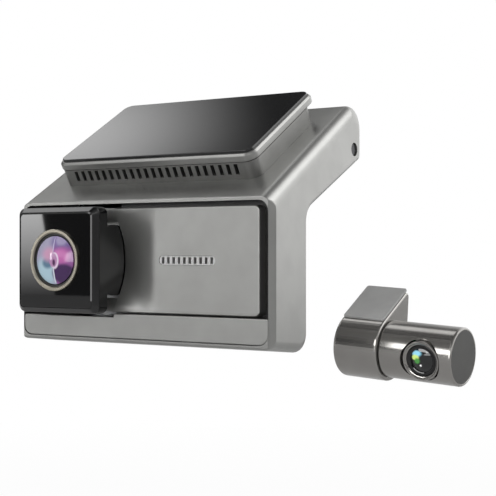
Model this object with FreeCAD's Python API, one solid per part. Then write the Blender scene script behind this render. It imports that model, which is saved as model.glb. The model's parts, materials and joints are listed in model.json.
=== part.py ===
"""A two-unit dash camera: the front unit with its tilting lens pod, and the barrel camera for the rear glass.

Drawn in millimetres: X to the right across the front unit, Y back from its front rim, Z up from the lens
axis. When a node is written it is moved so that the origin is the centre of the plate that sticks to the
windscreen.
"""
import FreeCAD, Part
import math
import os

V = FreeCAD.Vector
X_AXIS = V(1, 0, 0)
Y_AXIS = V(0, 1, 0)
Z_AXIS = V(0, 0, 1)

# ---- driving dimensions: front unit housing -------------------------------------------------------------
WIDTH = 100.0               # over the flanks
HALF_W = WIDTH / 2
WALL = 1.6                  # moulded wall
GLASS_ANGLE = 30.8          # windscreen to the horizontal
BROW_Z = 19.4               # where the sloping top starts, over the front rim
SLAB_DEPTH = 21.4           # front rim to screen face
ARM_REACH = 60.0            # front rim to the rear end of the arm
FRONT_BOTTOM_Z = -26.6      # underside at the front rim
REAR_BOTTOM_Z = -29.0       # underside at the screen face
ARM_ROOT_Z = 15.5           # underside of the arm where it meets the screen face
ARM_END_H = 20.57           # height of the arm's rear end
SLOPE_FILLET = 4.5          # sloping top to flank
ARM_END_FILLET = 4.0        # sloping top to the rear end
ARM_ROOT_FILLET = 7.0       # screen face to the underside of the arm
SLAB_HEEL_FILLET = 4.0      # screen face to the underside
RIM_CHAMFER = 1.2           # bevel round the front rim
ARM_TOP_Z = BROW_Z + ARM_REACH * math.tan(math.radians(GLASS_ANGLE))
ARM_END_Z = ARM_TOP_Z - ARM_END_H
SLOPE_LEN = ARM_REACH / math.cos(math.radians(GLASS_ANGLE))
SEAT_GAP = 0.1              # between fixed parts that seat in each other
OVER = 1.0                  # how far a cutting body runs past what it cuts

# ---- front opening, panel and chin ----------------------------------------------------------------------
BROW_BAND = 1.1             # rim over the opening
CHIN_BAND = 1.2             # rim under the opening
OPENING_TOP = BROW_Z - BROW_BAND
OPENING_BOTTOM = FRONT_BOTTOM_Z + CHIN_BAND
OPENING_CORNER = 3.4
POD_FROM_FLANK = 22.7       # lens axis from the left flank
POD_X = POD_FROM_FLANK - HALF_W
POD_HALF_W = 17.05
POD_SIDE_GAP = 0.35         # between the pod and the panel
PANEL_SIDE = 5.1            # panel to the right flank
PANEL_LEFT = POD_X + POD_HALF_W + POD_SIDE_GAP
PANEL_RIGHT = HALF_W - PANEL_SIDE
PANEL_HALF_H = 16.9
PANEL_FACE_Y = 1.0
PANEL_THICK = 3.5
PANEL_CORNER = 2.0
FLANGE_Y = 4.5              # floor of the groove round the panel
FLANGE_THICK = 1.5
SCOOP_AXIS_Y = -7.2         # the scoop is a cone about a line across the front
SCOOP_R = 14.3              # its radius beside the pod
SCOOP_SHARE = 0.29          # of the panel's width, until it runs out into the panel
SCOOP_END_X = PANEL_LEFT + SCOOP_SHARE * (PANEL_RIGHT - PANEL_LEFT)
SCOOP_BACK_Y = 9.0          # back of the thickened panel behind the scoop
CHIN_TOP = -17.2
CHIN_STEP = 1.0             # lower under the pod by this much
CHIN_FACE_Y = 0.2
CHIN_BACK_Y = 6.0

# ---- speaker --------------------------------------------------------------------------------------------
GRILLE_OFF = 0.8            # right of the panel's middle
GRILLE_X = (PANEL_LEFT + PANEL_RIGHT) / 2 + GRILLE_OFF
GRILLE_LEN = 21.2
GRILLE_H = 2.8
GRILLE_BARS = 9
GRILLE_BAR_W = 1.1
GRILLE_EDGE = 0.4           # rim left round the slits
GRILLE_STEP = 0.3
SPEAKER_R = 9.0
SPEAKER_H = 4.0

# ---- lens pod -------------------------------------------------------------------------------------------
POD_HALF_H = 17.2
POD_FACE_Y = -8.2
POD_BEVEL = 1.7
POD_FULL_BACK_Y = -2.7      # full height ends here
POD_TAPER_BACK_Y = 0.3
POD_TAPER_HALF_H = 12.2
POD_WALL = 1.6
TILT_Y = 1.5                # the tilt axis runs across at lens height
DRUM_ROOM = 8.4             # behind the drum to the screen face
DRUM_R = SLAB_DEPTH - DRUM_ROOM - TILT_Y
DRUM_LIP = 1.9
POD_INNER_FRONT_Y = -5.3
POD_INNER_HALF_H = 14.0
POD_INNER_BACK_HALF_H = DRUM_R - DRUM_LIP
GLASS_HALF_W = 15.3
GLASS_HALF_H = 15.5
GLASS_THICK = 1.2
GLASS_CORNER = 1.5
RING_R = 10.05
GAP_RING_R = 8.6
LENS_R = 8.1
RING_PROUD = 0.8
LENS_SINK = 0.8             # edge of the front element behind the ring's face
LENS_DOME = 1.6
BARREL_R = 7.0
BARREL_BORE_R = 5.6
BARREL_BACK_Y = 1.5
PIN_R = 1.5
PIN_FIT = 0.05
PIN_BORE_DEPTH = 1.0
ARM_X_GAP = 1.2             # pod wall to yoke arm, filled by the friction washer
YOKE_THICK = 1.5
YOKE_ARM_HALF_H = 3.2
YOKE_PLATE_THICK = 1.2
YOKE_CLEAR = 1.0            # behind the drum
YOKE_SEAT_Y = TILT_Y + DRUM_R + YOKE_CLEAR
YOKE_BACK_Y = YOKE_SEAT_Y + YOKE_PLATE_THICK
WASHER_R = 3.0

# ---- windscreen mount, drawn on the slope: s runs up the slope, h stands off it --------------------------
MOUNT_X = 0.6
BASE_HALF_W = 38.9
BASE_S0 = 11.2
BASE_FROM_END = 16.25       # rear end of the base to the rear end of the slope
BASE_S1 = SLOPE_LEN - BASE_FROM_END
BASE_H = 5.9
BASE_CORNER = 4.0
BASE_WALL = 1.8
DECK_THICK = 1.6
VENTS = 23
VENT_PITCH = 2.9
VENT_W = 1.35
VENT_H = 3.6
VENT_BELOW_TOP = 0.5
SLIDE_GAP = 0.15
TRAY_LIP = 0.2              # tray past the base at the front and sides
TRAY_BACK_LIP = 3.8         # and at its rear
TRAY_HALF_W = BASE_HALF_W + TRAY_LIP
TRAY_S0 = BASE_S0 - TRAY_LIP
TRAY_S1 = BASE_S1 + TRAY_BACK_LIP
TRAY_CORNER = 4.0
PLATE_TOP_H = 9.55
PLATE_THICK = 0.8
PLATE_IN = 1.1              # plate inside the tray's outline
PLATE_HALF_W = TRAY_HALF_W - PLATE_IN
PLATE_S0 = TRAY_S0 + PLATE_IN
PLATE_S1 = TRAY_S1 - PLATE_IN
PLATE_CORNER = 3.0
FOOT_FROM_FRONT = 13.8      # the two T-shaped feet under the tray
FOOT_FROM_BACK = 5.6
FOOT_S = (BASE_S0 + FOOT_FROM_FRONT, BASE_S1 - FOOT_FROM_BACK)
FOOT_HALF_LEN = 3.0
NECK_HALF_W = 8.0
HEAD_HALF_W = 11.0
HEAD_THICK = 1.2
FOOT_FIT = 0.2
RELEASE = 8.0               # slide that frees the feet

# ---- rear face and inside -------------------------------------------------------------------------------
BEZEL_SIDE = 3.5            # bezel to the flank
BEZEL_FOOT = 4.2            # and to the underside
BEZEL_HEAD = 5.1            # and to the arm's root
BEZEL_HALF_W = HALF_W - BEZEL_SIDE
BEZEL_BOTTOM = REAR_BOTTOM_Z + BEZEL_FOOT
BEZEL_TOP = ARM_ROOT_Z - BEZEL_HEAD
BEZEL_CORNER = 3.0
BEZEL_THICK = 2.2
SCREEN_SIDE = 2.5           # bezel's width left of the screen
SCREEN_FOOT = 1.8           # and under it
SCREEN_HEAD = 2.2           # and over it
KEY_STRIP = 16.5            # and right of it, where the buttons are
SCREEN_LEFT = SCREEN_SIDE - BEZEL_HALF_W
SCREEN_RIGHT = BEZEL_HALF_W - KEY_STRIP
SCREEN_BOTTOM = BEZEL_BOTTOM + SCREEN_FOOT
SCREEN_TOP = BEZEL_TOP - SCREEN_HEAD
SCREEN_CORNER = 1.5
SCREEN_THICK = 1.0
DISPLAY_THICK = 1.4
DISPLAY_BORDER = 3.0
FRAME_THICK = 0.8
BUTTONS = 5
BUTTON_SIDE = 8.3           # button's middle to the bezel's side
BUTTON_X = BEZEL_HALF_W - BUTTON_SIDE
BUTTON_PITCH = 6.6
BUTTON_HALF_W = 4.0
BUTTON_HALF_H = 1.9
BUTTON_PROUD = 0.6
BUTTON_FIT = 0.2
BUTTON_CORNER = 1.0
BOARD_THICK = 1.2
PANEL_POST_LEN = 2.0        # panel posts past the thickened panel
BOARD_Y = SCOOP_BACK_Y + PANEL_POST_LEN
BUTTON_BOARD_BACK = 3.8     # button board's rear face to the screen face
BUTTON_BOARD_Y = SLAB_DEPTH - BUTTON_BOARD_BACK
ARM_COVER_SIDE = 6.0        # cover to the flank
ARM_COVER_X = HALF_W - ARM_COVER_SIDE
ARM_COVER_S0 = 8.0          # from the arm's root, along its underside
ARM_COVER_END = 5.07        # cover to the arm's rear end
ARM_COVER_THICK = 1.4
SCREW_R = 1.1
SCREW_HEAD_R = 1.9
SCREW_HEAD_H = 1.1
SIDE_SCREW_IN = 5.8         # from the arm's rear end
SIDE_SCREW_UP = 2.5         # from the underside at the rear end
SIDE_SCREW_Y = ARM_REACH - SIDE_SCREW_IN
SIDE_SCREW_Z = ARM_END_Z + SIDE_SCREW_UP
SIDE_HOLE_R = 2.25
SIDE_HOLE_DEPTH = 1.6

# ---- boards and what is on them -------------------------------------------------------------------------
MAIN_BOARD_IN = 4.9         # from the panel's left edge
MAIN_BOARD_SIDE = 3.0       # to the right flank
MAIN_BOARD_X = (PANEL_LEFT + MAIN_BOARD_IN, HALF_W - MAIN_BOARD_SIDE)
MAIN_BOARD_HALF_H = 16.0
CHIP_OFF = 2.0              # left of the board's middle
CHIP_X = sum(MAIN_BOARD_X) / 2 - CHIP_OFF
CHIP_HALF = 7.0
CHIP_THICK = 1.2
SINK_HALF = 9.0
SINK_AIR = 2.4              # heat sink to the display's tray
SINK_BACK_Y = SLAB_DEPTH - SCREEN_THICK - DISPLAY_THICK - FRAME_THICK - SINK_AIR
SINK_THICK = SINK_BACK_Y - BOARD_Y - BOARD_THICK - CHIP_THICK
SINK_SLOTS = 5
SINK_PITCH = 3.2
GPS_X = -16.0
GPS_SIDE = 18.0
GPS_THICK = 4.0
CELL_FROM_GPS = 30.0        # first cell from the antenna's left side
CELL_STEP = 7.0
CELL_X = (GPS_X + CELL_FROM_GPS, GPS_X + CELL_FROM_GPS + CELL_STEP)
CELL_R = 2.9
CELL_LEN = 16.0
USB_DEPTH = 7.0
USB_SKIN = 0.4
USB_TONGUE_IN = 1.0         # tongue's end inside the shell's mouth
JACK_DEPTH = 9.0
JACK_HALF = 1.75
JACK_SKIN = 0.4
SLOT_SKIN = 0.8

# ---- rear camera ----------------------------------------------------------------------------------------
REAR_CAP_X = 70.7                       # centre of the flat end, in the front unit's drawing
REAR_CAP_Y = 101.0
REAR_CAP_Z = -35.5
REAR_CAP_AT = V(REAR_CAP_X, REAR_CAP_Y, REAR_CAP_Z)
REAR_YAW = 4.5                          # turned towards the viewer's side
REAR_ROLL = 3.1                         # droops to the right
REAR_BARREL_R = 10.8
REAR_BARREL_LEN = 29.6
REAR_BRACKET_LIP = 1.4                  # bracket past the barrel all round
REAR_BRACKET_R = REAR_BARREL_R + REAR_BRACKET_LIP
REAR_BRACKET_W = 18.7
REAR_FLAT_ANGLE = 32.2
REAR_PAD_THICK = 0.8
REAR_PAD_EDGE = 0.6                     # bracket's flat left round the pad
REAR_WALL = 1.5
REAR_GAP = 0.3                          # bracket face to barrel end
REAR_PIN_R = 4.0
REAR_PIN_DEPTH = 6.0
REAR_LENS_BACK = 12.3                   # lens axis from the flat end
REAR_LENS_TILT = 12.3                   # lens points this far down at rest
REAR_BEZEL_R = 7.3
REAR_BEZEL_OUT = 10.0                   # bezel face from the barrel's axis
REAR_BEZEL_WIDTH = 1.3
REAR_LENS_R = 4.4
REAR_CAP_THICK = 1.2
REAR_SPIGOT = 2.0                       # ring that fits inside the barrel


# ---- helpers --------------------------------------------------------------------------------------------
def box(x0, x1, y0, y1, z0, z1):
    """A box between two corners."""
    return Part.makeBox(x1 - x0, y1 - y0, z1 - z0, V(x0, y0, z0))


def rod(start, direction, radius, length):
    """A round bar."""
    return Part.makeCylinder(radius, length, start, direction)


def tube(start, direction, radius, bore, length):
    """A round bar with a hole through it."""
    return rod(start, direction, radius, length).cut(rod(start, direction, bore, length))


def outline_prism(points, x0, x1):
    """Pull a closed outline of (y, z) points across from x0 to x1."""
    wire = Part.makePolygon([V(x0, y, z) for y, z in points + points[:1]])
    return Part.Face(wire).extrude(V(x1 - x0, 0, 0))


def edges_along(shape, direction):
    """The straight edges that run along a direction."""
    found = []
    for edge in shape.Edges:
        if edge.Curve.TypeId == "Part::GeomLine" and abs(edge.Curve.Direction.dot(direction)) > 0.999:
            found.append(edge)
    return found


def rounded_slab(x0, x1, y0, y1, z0, z1, radius, direction):
    """A box whose four edges along one direction are rounded."""
    slab = box(x0, x1, y0, y1, z0, z1)
    return slab.makeFillet(radius, edges_along(slab, direction))


def on_slope(shape):
    """Stand a shape drawn as (x, s, h) on the sloping top."""
    placed = shape.copy()
    placed.rotate(V(0, 0, 0), X_AXIS, GLASS_ANGLE)
    placed.translate(V(0, 0, BROW_Z))
    return placed


def slope_point(x, s, h):
    """The place of (x, s, h) on the slope, as a vector."""
    angle = math.radians(GLASS_ANGLE)
    return V(x, s * math.cos(angle) - h * math.sin(angle), BROW_Z + s * math.sin(angle) + h * math.cos(angle))


def screw(start, direction, length):
    """A small screw: its head starts at the given point and the shank follows."""
    head = rod(start, direction, SCREW_HEAD_R, SCREW_HEAD_H)
    shank = rod(start + direction * SCREW_HEAD_H, direction, SCREW_R, length)
    return head.fuse(shank)


ORIGIN = slope_point(MOUNT_X, (PLATE_S0 + PLATE_S1) / 2, PLATE_TOP_H)


def save(node, *solids):
    """Write one node, moved to the part's own origin."""
    shape = solids[0] if len(solids) == 1 else Part.makeCompound(list(solids))
    shape = shape.copy()
    shape.translate(ORIGIN * -1)
    shape.exportStep("parts/" + node + ".step")


# ---- front unit: housing --------------------------------------------------------------------------------
SIDE_OUTLINE = [
    (0, FRONT_BOTTOM_Z), (0, BROW_Z), (ARM_REACH, ARM_TOP_Z), (ARM_REACH, ARM_END_Z),
    (SLAB_DEPTH, ARM_ROOT_Z), (SLAB_DEPTH, REAR_BOTTOM_Z),
]
UNDERSIDE = V(0, ARM_REACH - SLAB_DEPTH, ARM_END_Z - ARM_ROOT_Z).normalize()
UNDERSIDE_IN = V(0, -UNDERSIDE.z, UNDERSIDE.y)
UNDERSIDE_LEN = math.hypot(ARM_REACH - SLAB_DEPTH, ARM_END_Z - ARM_ROOT_Z)
ARM_COVER_S1 = UNDERSIDE_LEN - ARM_COVER_END
FAR = 200.0                 # longer than anything here, for cutting bodies


def edges_at(shape, y, z):
    """The edges across the unit that pass through one corner of its side outline."""
    found = []
    for edge in edges_along(shape, X_AXIS):
        start = edge.Vertexes[0].Point
        if abs(start.y - y) < 0.01 and abs(start.z - z) < 0.01:
            found.append(edge)
    return found


def sloped_bar(inset, fillet):
    """A long bar under the sloping top with rounded upper edges: it gives the top its broad soft edges."""
    half = HALF_W - inset
    bar = box(-half, half, -FAR, FAR, -FAR, -inset)
    upper = [edge for edge in edges_along(bar, Y_AXIS) if edge.Vertexes[0].Point.z > -FAR / 2]
    return on_slope(bar.makeFillet(fillet, upper))


def housing_outer():
    """The outside of the housing."""
    body = outline_prism(SIDE_OUTLINE, -HALF_W, HALF_W)
    body = body.makeFillet(ARM_END_FILLET, edges_at(body, ARM_REACH, ARM_TOP_Z))
    body = body.makeFillet(ARM_END_FILLET / 2, edges_at(body, ARM_REACH, ARM_END_Z))
    body = body.makeFillet(ARM_ROOT_FILLET, edges_at(body, SLAB_DEPTH, ARM_ROOT_Z))
    body = body.makeFillet(SLAB_HEEL_FILLET, edges_at(body, SLAB_DEPTH, REAR_BOTTOM_Z))
    body = body.common(sloped_bar(0, SLOPE_FILLET))
    rim = [edge for edge in body.Edges if all(abs(v.Point.y) < 0.01 for v in edge.Vertexes)]
    return body.makeChamfer(RIM_CHAMFER, rim)


def housing_cavity():
    """The hollow of the slab and the arm, a wall's thickness inside the outline."""
    wire = Part.makePolygon([V(0, y, z) for y, z in SIDE_OUTLINE + SIDE_OUTLINE[:1]])
    inner = Part.Face(wire).makeOffset2D(-WALL, 2)
    half = HALF_W - WALL
    cavity = inner.extrude(V(2 * half, 0, 0))
    cavity.translate(V(-half, 0, 0))
    cavity = cavity.common(sloped_bar(WALL, SLOPE_FILLET - WALL))
    return cavity.common(box(-HALF_W, HALF_W, 0, ARM_REACH - ARM_END_FILLET - WALL, -FAR, FAR))


def front_opening(clear):
    """The opening inside the rim, from in front of it to the back of the chin."""
    half = HALF_W - WALL - clear
    return rounded_slab(-half, half, -RIM_CHAMFER, CHIN_BACK_Y + SEAT_GAP, OPENING_BOTTOM + clear,
                        OPENING_TOP - clear, OPENING_CORNER, Y_AXIS)


def rear_opening():
    """The opening for the screen bezel."""
    half = BEZEL_HALF_W + SEAT_GAP
    return rounded_slab(-half, half, SLAB_DEPTH - 2 * WALL, SLAB_DEPTH + WALL, BEZEL_BOTTOM - SEAT_GAP,
                        BEZEL_TOP + SEAT_GAP, BEZEL_CORNER, Y_AXIS)


def underside_plate(s0, s1, half_w, thick):
    """A plate flush with the underside of the arm; s runs from the arm's root."""
    root = V(0, SLAB_DEPTH, ARM_ROOT_Z)
    corners = [root + UNDERSIDE * s0, root + UNDERSIDE * s1]
    corners += [corner + UNDERSIDE_IN * thick for corner in reversed(corners)]
    return outline_prism([(corner.y, corner.z) for corner in corners], -half_w, half_w)


COVER_SCREW_IN = 3.5
COVER_SCREW_S = (ARM_COVER_S0 + COVER_SCREW_IN, ARM_COVER_S1 - COVER_SCREW_IN)
COVER_SCREW_AT = [(side * (ARM_COVER_X - COVER_SCREW_IN), s) for side in (-1, 1) for s in COVER_SCREW_S]
COVER_BOSS_R = 2.2
COVER_BOSS_LEN = 4.0
COVER_RIB_IN = 2.0
SCREW_SHORT = 1.0           # screw tip short of the end of its boss


def cover_point(x, s, depth):
    """A point under the arm, this deep inside its underside."""
    return V(x, SLAB_DEPTH, ARM_ROOT_Z) + UNDERSIDE * s + UNDERSIDE_IN * depth


YOKE_TAB_IN = 10.0          # tab's middle to the left flank
YOKE_TAB_X = YOKE_TAB_IN - HALF_W
YOKE_TAB_HALF_W = 4.0
YOKE_TAB_PAST = 2.5         # tab past its screw
YOKE_SCREW_Z = 21.0
YOKE_BOSS_DEPTH = 5.0
YOKE_BLOCK_Z = 18.6         # the yoke's blocks reach in to here from above and below
YOKE_SCREW_DEPTH = 4.5
IO_H = -8.0                 # inner board, level with the sloping top
IO_POST_R = 1.6
CARD_W = 11.4
CARD_LEN = 15.0
CARD_THICK = 1.0
CARD_LIFT = 0.5             # over the board
CARD_PROUD = 0.6
CARD_FIT = 0.1
CARD_FROM_END = 13.45       # to the rear end of the slope
CARD_S = (SLOPE_LEN - CARD_FROM_END - CARD_W, SLOPE_LEN - CARD_FROM_END)
CARD_H = (IO_H + CARD_LIFT, IO_H + CARD_LIFT + CARD_THICK)
USB_W = 9.0
USB_H = 3.2
INLET_STEP = 3.0            # between two inlets
INLET_H = (IO_H + SEAT_GAP, IO_H + SEAT_GAP + USB_H)
USB_S = (CARD_S[0] - INLET_STEP - USB_W, CARD_S[0] - INLET_STEP)
JACK_R = 1.4
JACK_S = USB_S[0] - 2 * INLET_STEP
CARD_PAST = 2.4             # card past the board's upper edge
IO_S = (JACK_S - INLET_STEP, CARD_S[1] - CARD_PAST)
IO_LEFT_GAP = 2.6           # board to the left flank
IO_RIGHT_GAP = 7.0          # and to the right one
IO_X = (IO_LEFT_GAP - HALF_W, HALF_W - IO_RIGHT_GAP)
IO_POST_PAST = 4.4          # left posts past the card holder, which must stay clear of them
IO_POST_X = (IO_X[0] + CARD_LEN + IO_POST_PAST, IO_X[1] - INLET_STEP)
IO_POST_S = (IO_S[0] + INLET_STEP, IO_S[1] - INLET_STEP)
IO_POST_AT = [(x, s) for x in IO_POST_X for s in IO_POST_S]
GPS_UP = 8.0                # from the board's lower edge
CELL_UP = 10.0
GPS_S = IO_S[0] + GPS_UP
CELL_S = IO_S[0] + CELL_UP
SIDE_BOSS_HALF = 2.8
SIDE_BOSS_LEN = 5.0


def housing_bosses():
    """Posts and blocks moulded inside the shell for the yoke, the inner board and the side screws."""
    pieces = []
    for low, high in ((REAR_BOTTOM_Z, -YOKE_BLOCK_Z), (YOKE_BLOCK_Z, ARM_END_Z)):
        pieces.append(box(YOKE_TAB_X - YOKE_TAB_HALF_W, YOKE_TAB_X + YOKE_TAB_HALF_W,
                          YOKE_SEAT_Y - YOKE_BOSS_DEPTH, YOKE_SEAT_Y, low, high))
    for x, s in IO_POST_AT:
        pieces.append(on_slope(rod(V(x, s, IO_H), Z_AXIS, IO_POST_R, -IO_H - WALL / 2)))
    for side in (-1, 1):
        block = box(0, SIDE_BOSS_LEN, SIDE_SCREW_Y - SIDE_BOSS_HALF, SIDE_SCREW_Y + SIDE_BOSS_HALF,
                    SIDE_SCREW_Z - SIDE_BOSS_HALF, SIDE_SCREW_Z + SIDE_BOSS_HALF)
        block.translate(V(side * (HALF_W - WALL) - (SIDE_BOSS_LEN if side > 0 else 0), 0, 0))
        pieces.append(block)
    return pieces


def housing_holes():
    """Screw bores, the recessed side holes and the inlets on the left flank."""
    holes = []
    for side in (-1, 1):
        outer = V(side * HALF_W, SIDE_SCREW_Y, SIDE_SCREW_Z)
        inward = X_AXIS * -side
        holes.append(rod(outer, inward, SIDE_HOLE_R, SIDE_HOLE_DEPTH))
        holes.append(rod(outer, inward, SCREW_R, SIDE_HOLE_DEPTH + SIDE_BOSS_LEN))
    for side in (-1, 1):
        seat = V(YOKE_TAB_X, YOKE_SEAT_Y, side * YOKE_SCREW_Z)
        holes.append(rod(seat, Y_AXIS * -1, SCREW_R, YOKE_SCREW_DEPTH))
    left = -HALF_W - WALL
    inner = -HALF_W + 2 * WALL
    holes.append(on_slope(box(left, inner, USB_S[0], USB_S[1], INLET_H[0], INLET_H[1])))
    holes.append(on_slope(box(left, inner, CARD_S[0] - CARD_FIT, CARD_S[1] + CARD_FIT, CARD_H[0] - CARD_FIT,
                              CARD_H[1] + CARD_FIT)))
    holes.append(on_slope(rod(V(left, JACK_S, IO_H + JACK_R + SEAT_GAP), X_AXIS, JACK_R, 3 * WALL)))
    return holes


def cover_bosses():
    """Posts inside the arm that take the cover's screws."""
    posts = []
    for x, s in COVER_SCREW_AT:
        foot = cover_point(x, s, ARM_COVER_THICK)
        posts.append(tube(foot, UNDERSIDE_IN, COVER_BOSS_R, SCREW_R, COVER_BOSS_LEN))
    return posts


def cover_ribs():
    """A rib from each side wall carries the cover's posts."""
    ribs = []
    for side in (-1, 1):
        x0 = side * (ARM_COVER_X - COVER_RIB_IN)
        x1 = side * (HALF_W - WALL / 2)
        low, high = sorted((x0, x1))
        for s in COVER_SCREW_S:
            a = cover_point(0, s - WALL / 2, ARM_COVER_THICK)
            b = cover_point(0, s + WALL / 2, ARM_COVER_THICK)
            c = cover_point(0, s + WALL / 2, ARM_COVER_THICK + COVER_BOSS_LEN)
            d = cover_point(0, s - WALL / 2, ARM_COVER_THICK + COVER_BOSS_LEN)
            ribs.append(outline_prism([(p.y, p.z) for p in (a, b, c, d)], low, high))
    return ribs


def housing_shell():
    """The moulded shell: slab, arm, rim, inner posts and holes."""
    shell = housing_outer().cut(housing_cavity())
    shell = shell.cut(front_opening(0)).cut(rear_opening())
    shell = shell.cut(underside_plate(ARM_COVER_S0 - SEAT_GAP, ARM_COVER_S1 + SEAT_GAP,
                                      ARM_COVER_X + SEAT_GAP, 2 * WALL))
    shell = shell.multiFuse(housing_bosses() + cover_ribs() + cover_bosses()).common(housing_outer())
    return shell.cut(Part.makeCompound(housing_holes())).removeSplitter()


def arm_cover():
    """The plate under the arm, with countersunk seats for four screws."""
    plate = underside_plate(ARM_COVER_S0, ARM_COVER_S1, ARM_COVER_X, ARM_COVER_THICK)
    for x, s in COVER_SCREW_AT:
        plate = plate.cut(rod(cover_point(x, s, 0), UNDERSIDE_IN, SCREW_HEAD_R + SEAT_GAP, SCREW_HEAD_H))
        plate = plate.cut(rod(cover_point(x, s, 0), UNDERSIDE_IN, SCREW_R + SEAT_GAP, 2 * ARM_COVER_THICK))
    return plate


def arm_cover_screws():
    """Four screws, flush with the cover."""
    length = COVER_BOSS_LEN - SCREW_SHORT
    return [screw(cover_point(x, s, 0), UNDERSIDE_IN, length) for x, s in COVER_SCREW_AT]


def side_screws():
    """One recessed screw in each flank of the arm."""
    screws = []
    for side in (-1, 1):
        start = V(side * (HALF_W - SIDE_HOLE_DEPTH + SCREW_HEAD_H), SIDE_SCREW_Y, SIDE_SCREW_Z)
        screws.append(screw(start, X_AXIS * -side, SIDE_BOSS_LEN - SCREW_SHORT))
    return screws


# ---- front unit: panel, chin and speaker ----------------------------------------------------------------
PANEL_POST_R = 1.5
PANEL_POST_IN = 2.9         # from the panel's right edge
PANEL_POST_X = (SCOOP_END_X + PANEL_POST_LEN, PANEL_RIGHT - PANEL_POST_IN)
PANEL_POST_Z = 13.0
PANEL_POST_AT = [(x, z) for x in PANEL_POST_X for z in (-PANEL_POST_Z, PANEL_POST_Z)]


def front_panel():
    """The recessed panel with its scoop beside the pod, its flange and the grille slot."""
    back = PANEL_FACE_Y + PANEL_THICK
    face = rounded_slab(PANEL_LEFT - PANEL_CORNER, PANEL_RIGHT, PANEL_FACE_Y, back, -PANEL_HALF_H,
                        PANEL_HALF_H, PANEL_CORNER, Y_AXIS)
    face = face.common(box(PANEL_LEFT, FAR, -FAR, FAR, -FAR, FAR))
    flange = box(PANEL_LEFT, HALF_W, FLANGE_Y, FLANGE_Y + FLANGE_THICK, CHIN_TOP + SEAT_GAP, OPENING_TOP)
    flange = flange.common(front_opening(SEAT_GAP))
    lump = box(PANEL_LEFT, SCOOP_END_X, back, SCOOP_BACK_Y, -PANEL_HALF_H, PANEL_HALF_H)
    posts = [rod(V(x, back, z), Y_AXIS, PANEL_POST_R, BOARD_Y - back) for x, z in PANEL_POST_AT]
    panel = face.multiFuse([flange, lump] + posts)
    edge_r = abs(PANEL_FACE_Y - SCOOP_AXIS_Y)
    scoop = Part.makeCone(SCOOP_R, edge_r, SCOOP_END_X - PANEL_LEFT, V(PANEL_LEFT, SCOOP_AXIS_Y, 0), X_AXIS)
    grille = grille_outline(PANEL_FACE_Y - OVER, SCOOP_BACK_Y, SEAT_GAP)
    return panel.cut(scoop).cut(grille).removeSplitter()


ALMOST = 0.993              # a full round end leaves no straight edge for the fillet


def grille_outline(y0, y1, clear):
    """The long slot with round ends that the grille fills."""
    half = GRILLE_LEN / 2 + clear
    half_h = GRILLE_H / 2 + clear
    return rounded_slab(GRILLE_X - half, GRILLE_X + half, y0, y1, -half_h, half_h, half_h * ALMOST, Y_AXIS)


def speaker_grille():
    """The insert with ten slits between its nine upright bars."""
    front = PANEL_FACE_Y + GRILLE_STEP
    insert = grille_outline(front, FLANGE_Y + FLANGE_THICK, 0)
    gaps = GRILLE_BARS + 1
    pitch = (GRILLE_LEN - 2 * GRILLE_EDGE) / gaps
    slit_w = pitch - GRILLE_BAR_W
    for i in range(gaps):
        x = GRILLE_X + (i - GRILLE_BARS / 2) * pitch
        insert = insert.cut(box(x - slit_w / 2, x + slit_w / 2, front - OVER, SCOOP_BACK_Y,
                                GRILLE_EDGE - GRILLE_H / 2, GRILLE_H / 2 - GRILLE_EDGE))
    return insert


def speaker_driver():
    """The round driver behind the grille, held against the panel."""
    return rod(V(GRILLE_X, FLANGE_Y + FLANGE_THICK, 0), Y_AXIS, SPEAKER_R, SPEAKER_H)


def chin_trim():
    """The strip along the foot of the front, lower under the pod so that the pod can tilt."""
    strip = front_opening(SEAT_GAP)
    strip = strip.common(box(-HALF_W, HALF_W, CHIN_FACE_Y, CHIN_BACK_Y, -FAR, CHIN_TOP))
    return strip.cut(box(-HALF_W, PANEL_LEFT, -FAR, FAR, CHIN_TOP - CHIN_STEP, FAR))


# ---- front unit: lens pod -------------------------------------------------------------------------------
POD_LEFT = POD_X - POD_HALF_W
POD_RIGHT = POD_X + POD_HALF_W
POD_BEVEL_BACK_Y = POD_FACE_Y + POD_BEVEL
GLASS_BACK_Y = POD_FACE_Y + GLASS_THICK
TILT_AT = V(POD_X, TILT_Y, 0)


def pod_outer():
    """The pod's outside: a bevelled block in front of a drum about the tilt axis."""
    profile = [(POD_BEVEL_BACK_Y, -POD_HALF_H), (POD_BEVEL_BACK_Y, POD_HALF_H), (POD_FULL_BACK_Y, POD_HALF_H),
               (POD_TAPER_BACK_Y, POD_TAPER_HALF_H), (POD_TAPER_BACK_Y, -POD_TAPER_HALF_H),
               (POD_FULL_BACK_Y, -POD_HALF_H)]
    block = outline_prism(profile, POD_LEFT, POD_RIGHT)
    drum = rod(V(POD_LEFT, TILT_Y, 0), X_AXIS, DRUM_R, 2 * POD_HALF_W)
    drum = drum.common(box(POD_LEFT, POD_RIGHT, POD_TAPER_BACK_Y, FAR, -FAR, FAR))
    rings = []
    for y in (GLASS_BACK_Y, POD_BEVEL_BACK_Y):
        w = POD_HALF_W - (POD_BEVEL_BACK_Y - y)
        h = POD_HALF_H - (POD_BEVEL_BACK_Y - y)
        corners = [V(POD_X - w, y, -h), V(POD_X + w, y, -h), V(POD_X + w, y, h), V(POD_X - w, y, h)]
        rings.append(Part.makePolygon(corners + corners[:1]))
    bevel = Part.makeLoft(rings, True, True)
    return block.multiFuse([bevel, drum]).removeSplitter()


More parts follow.
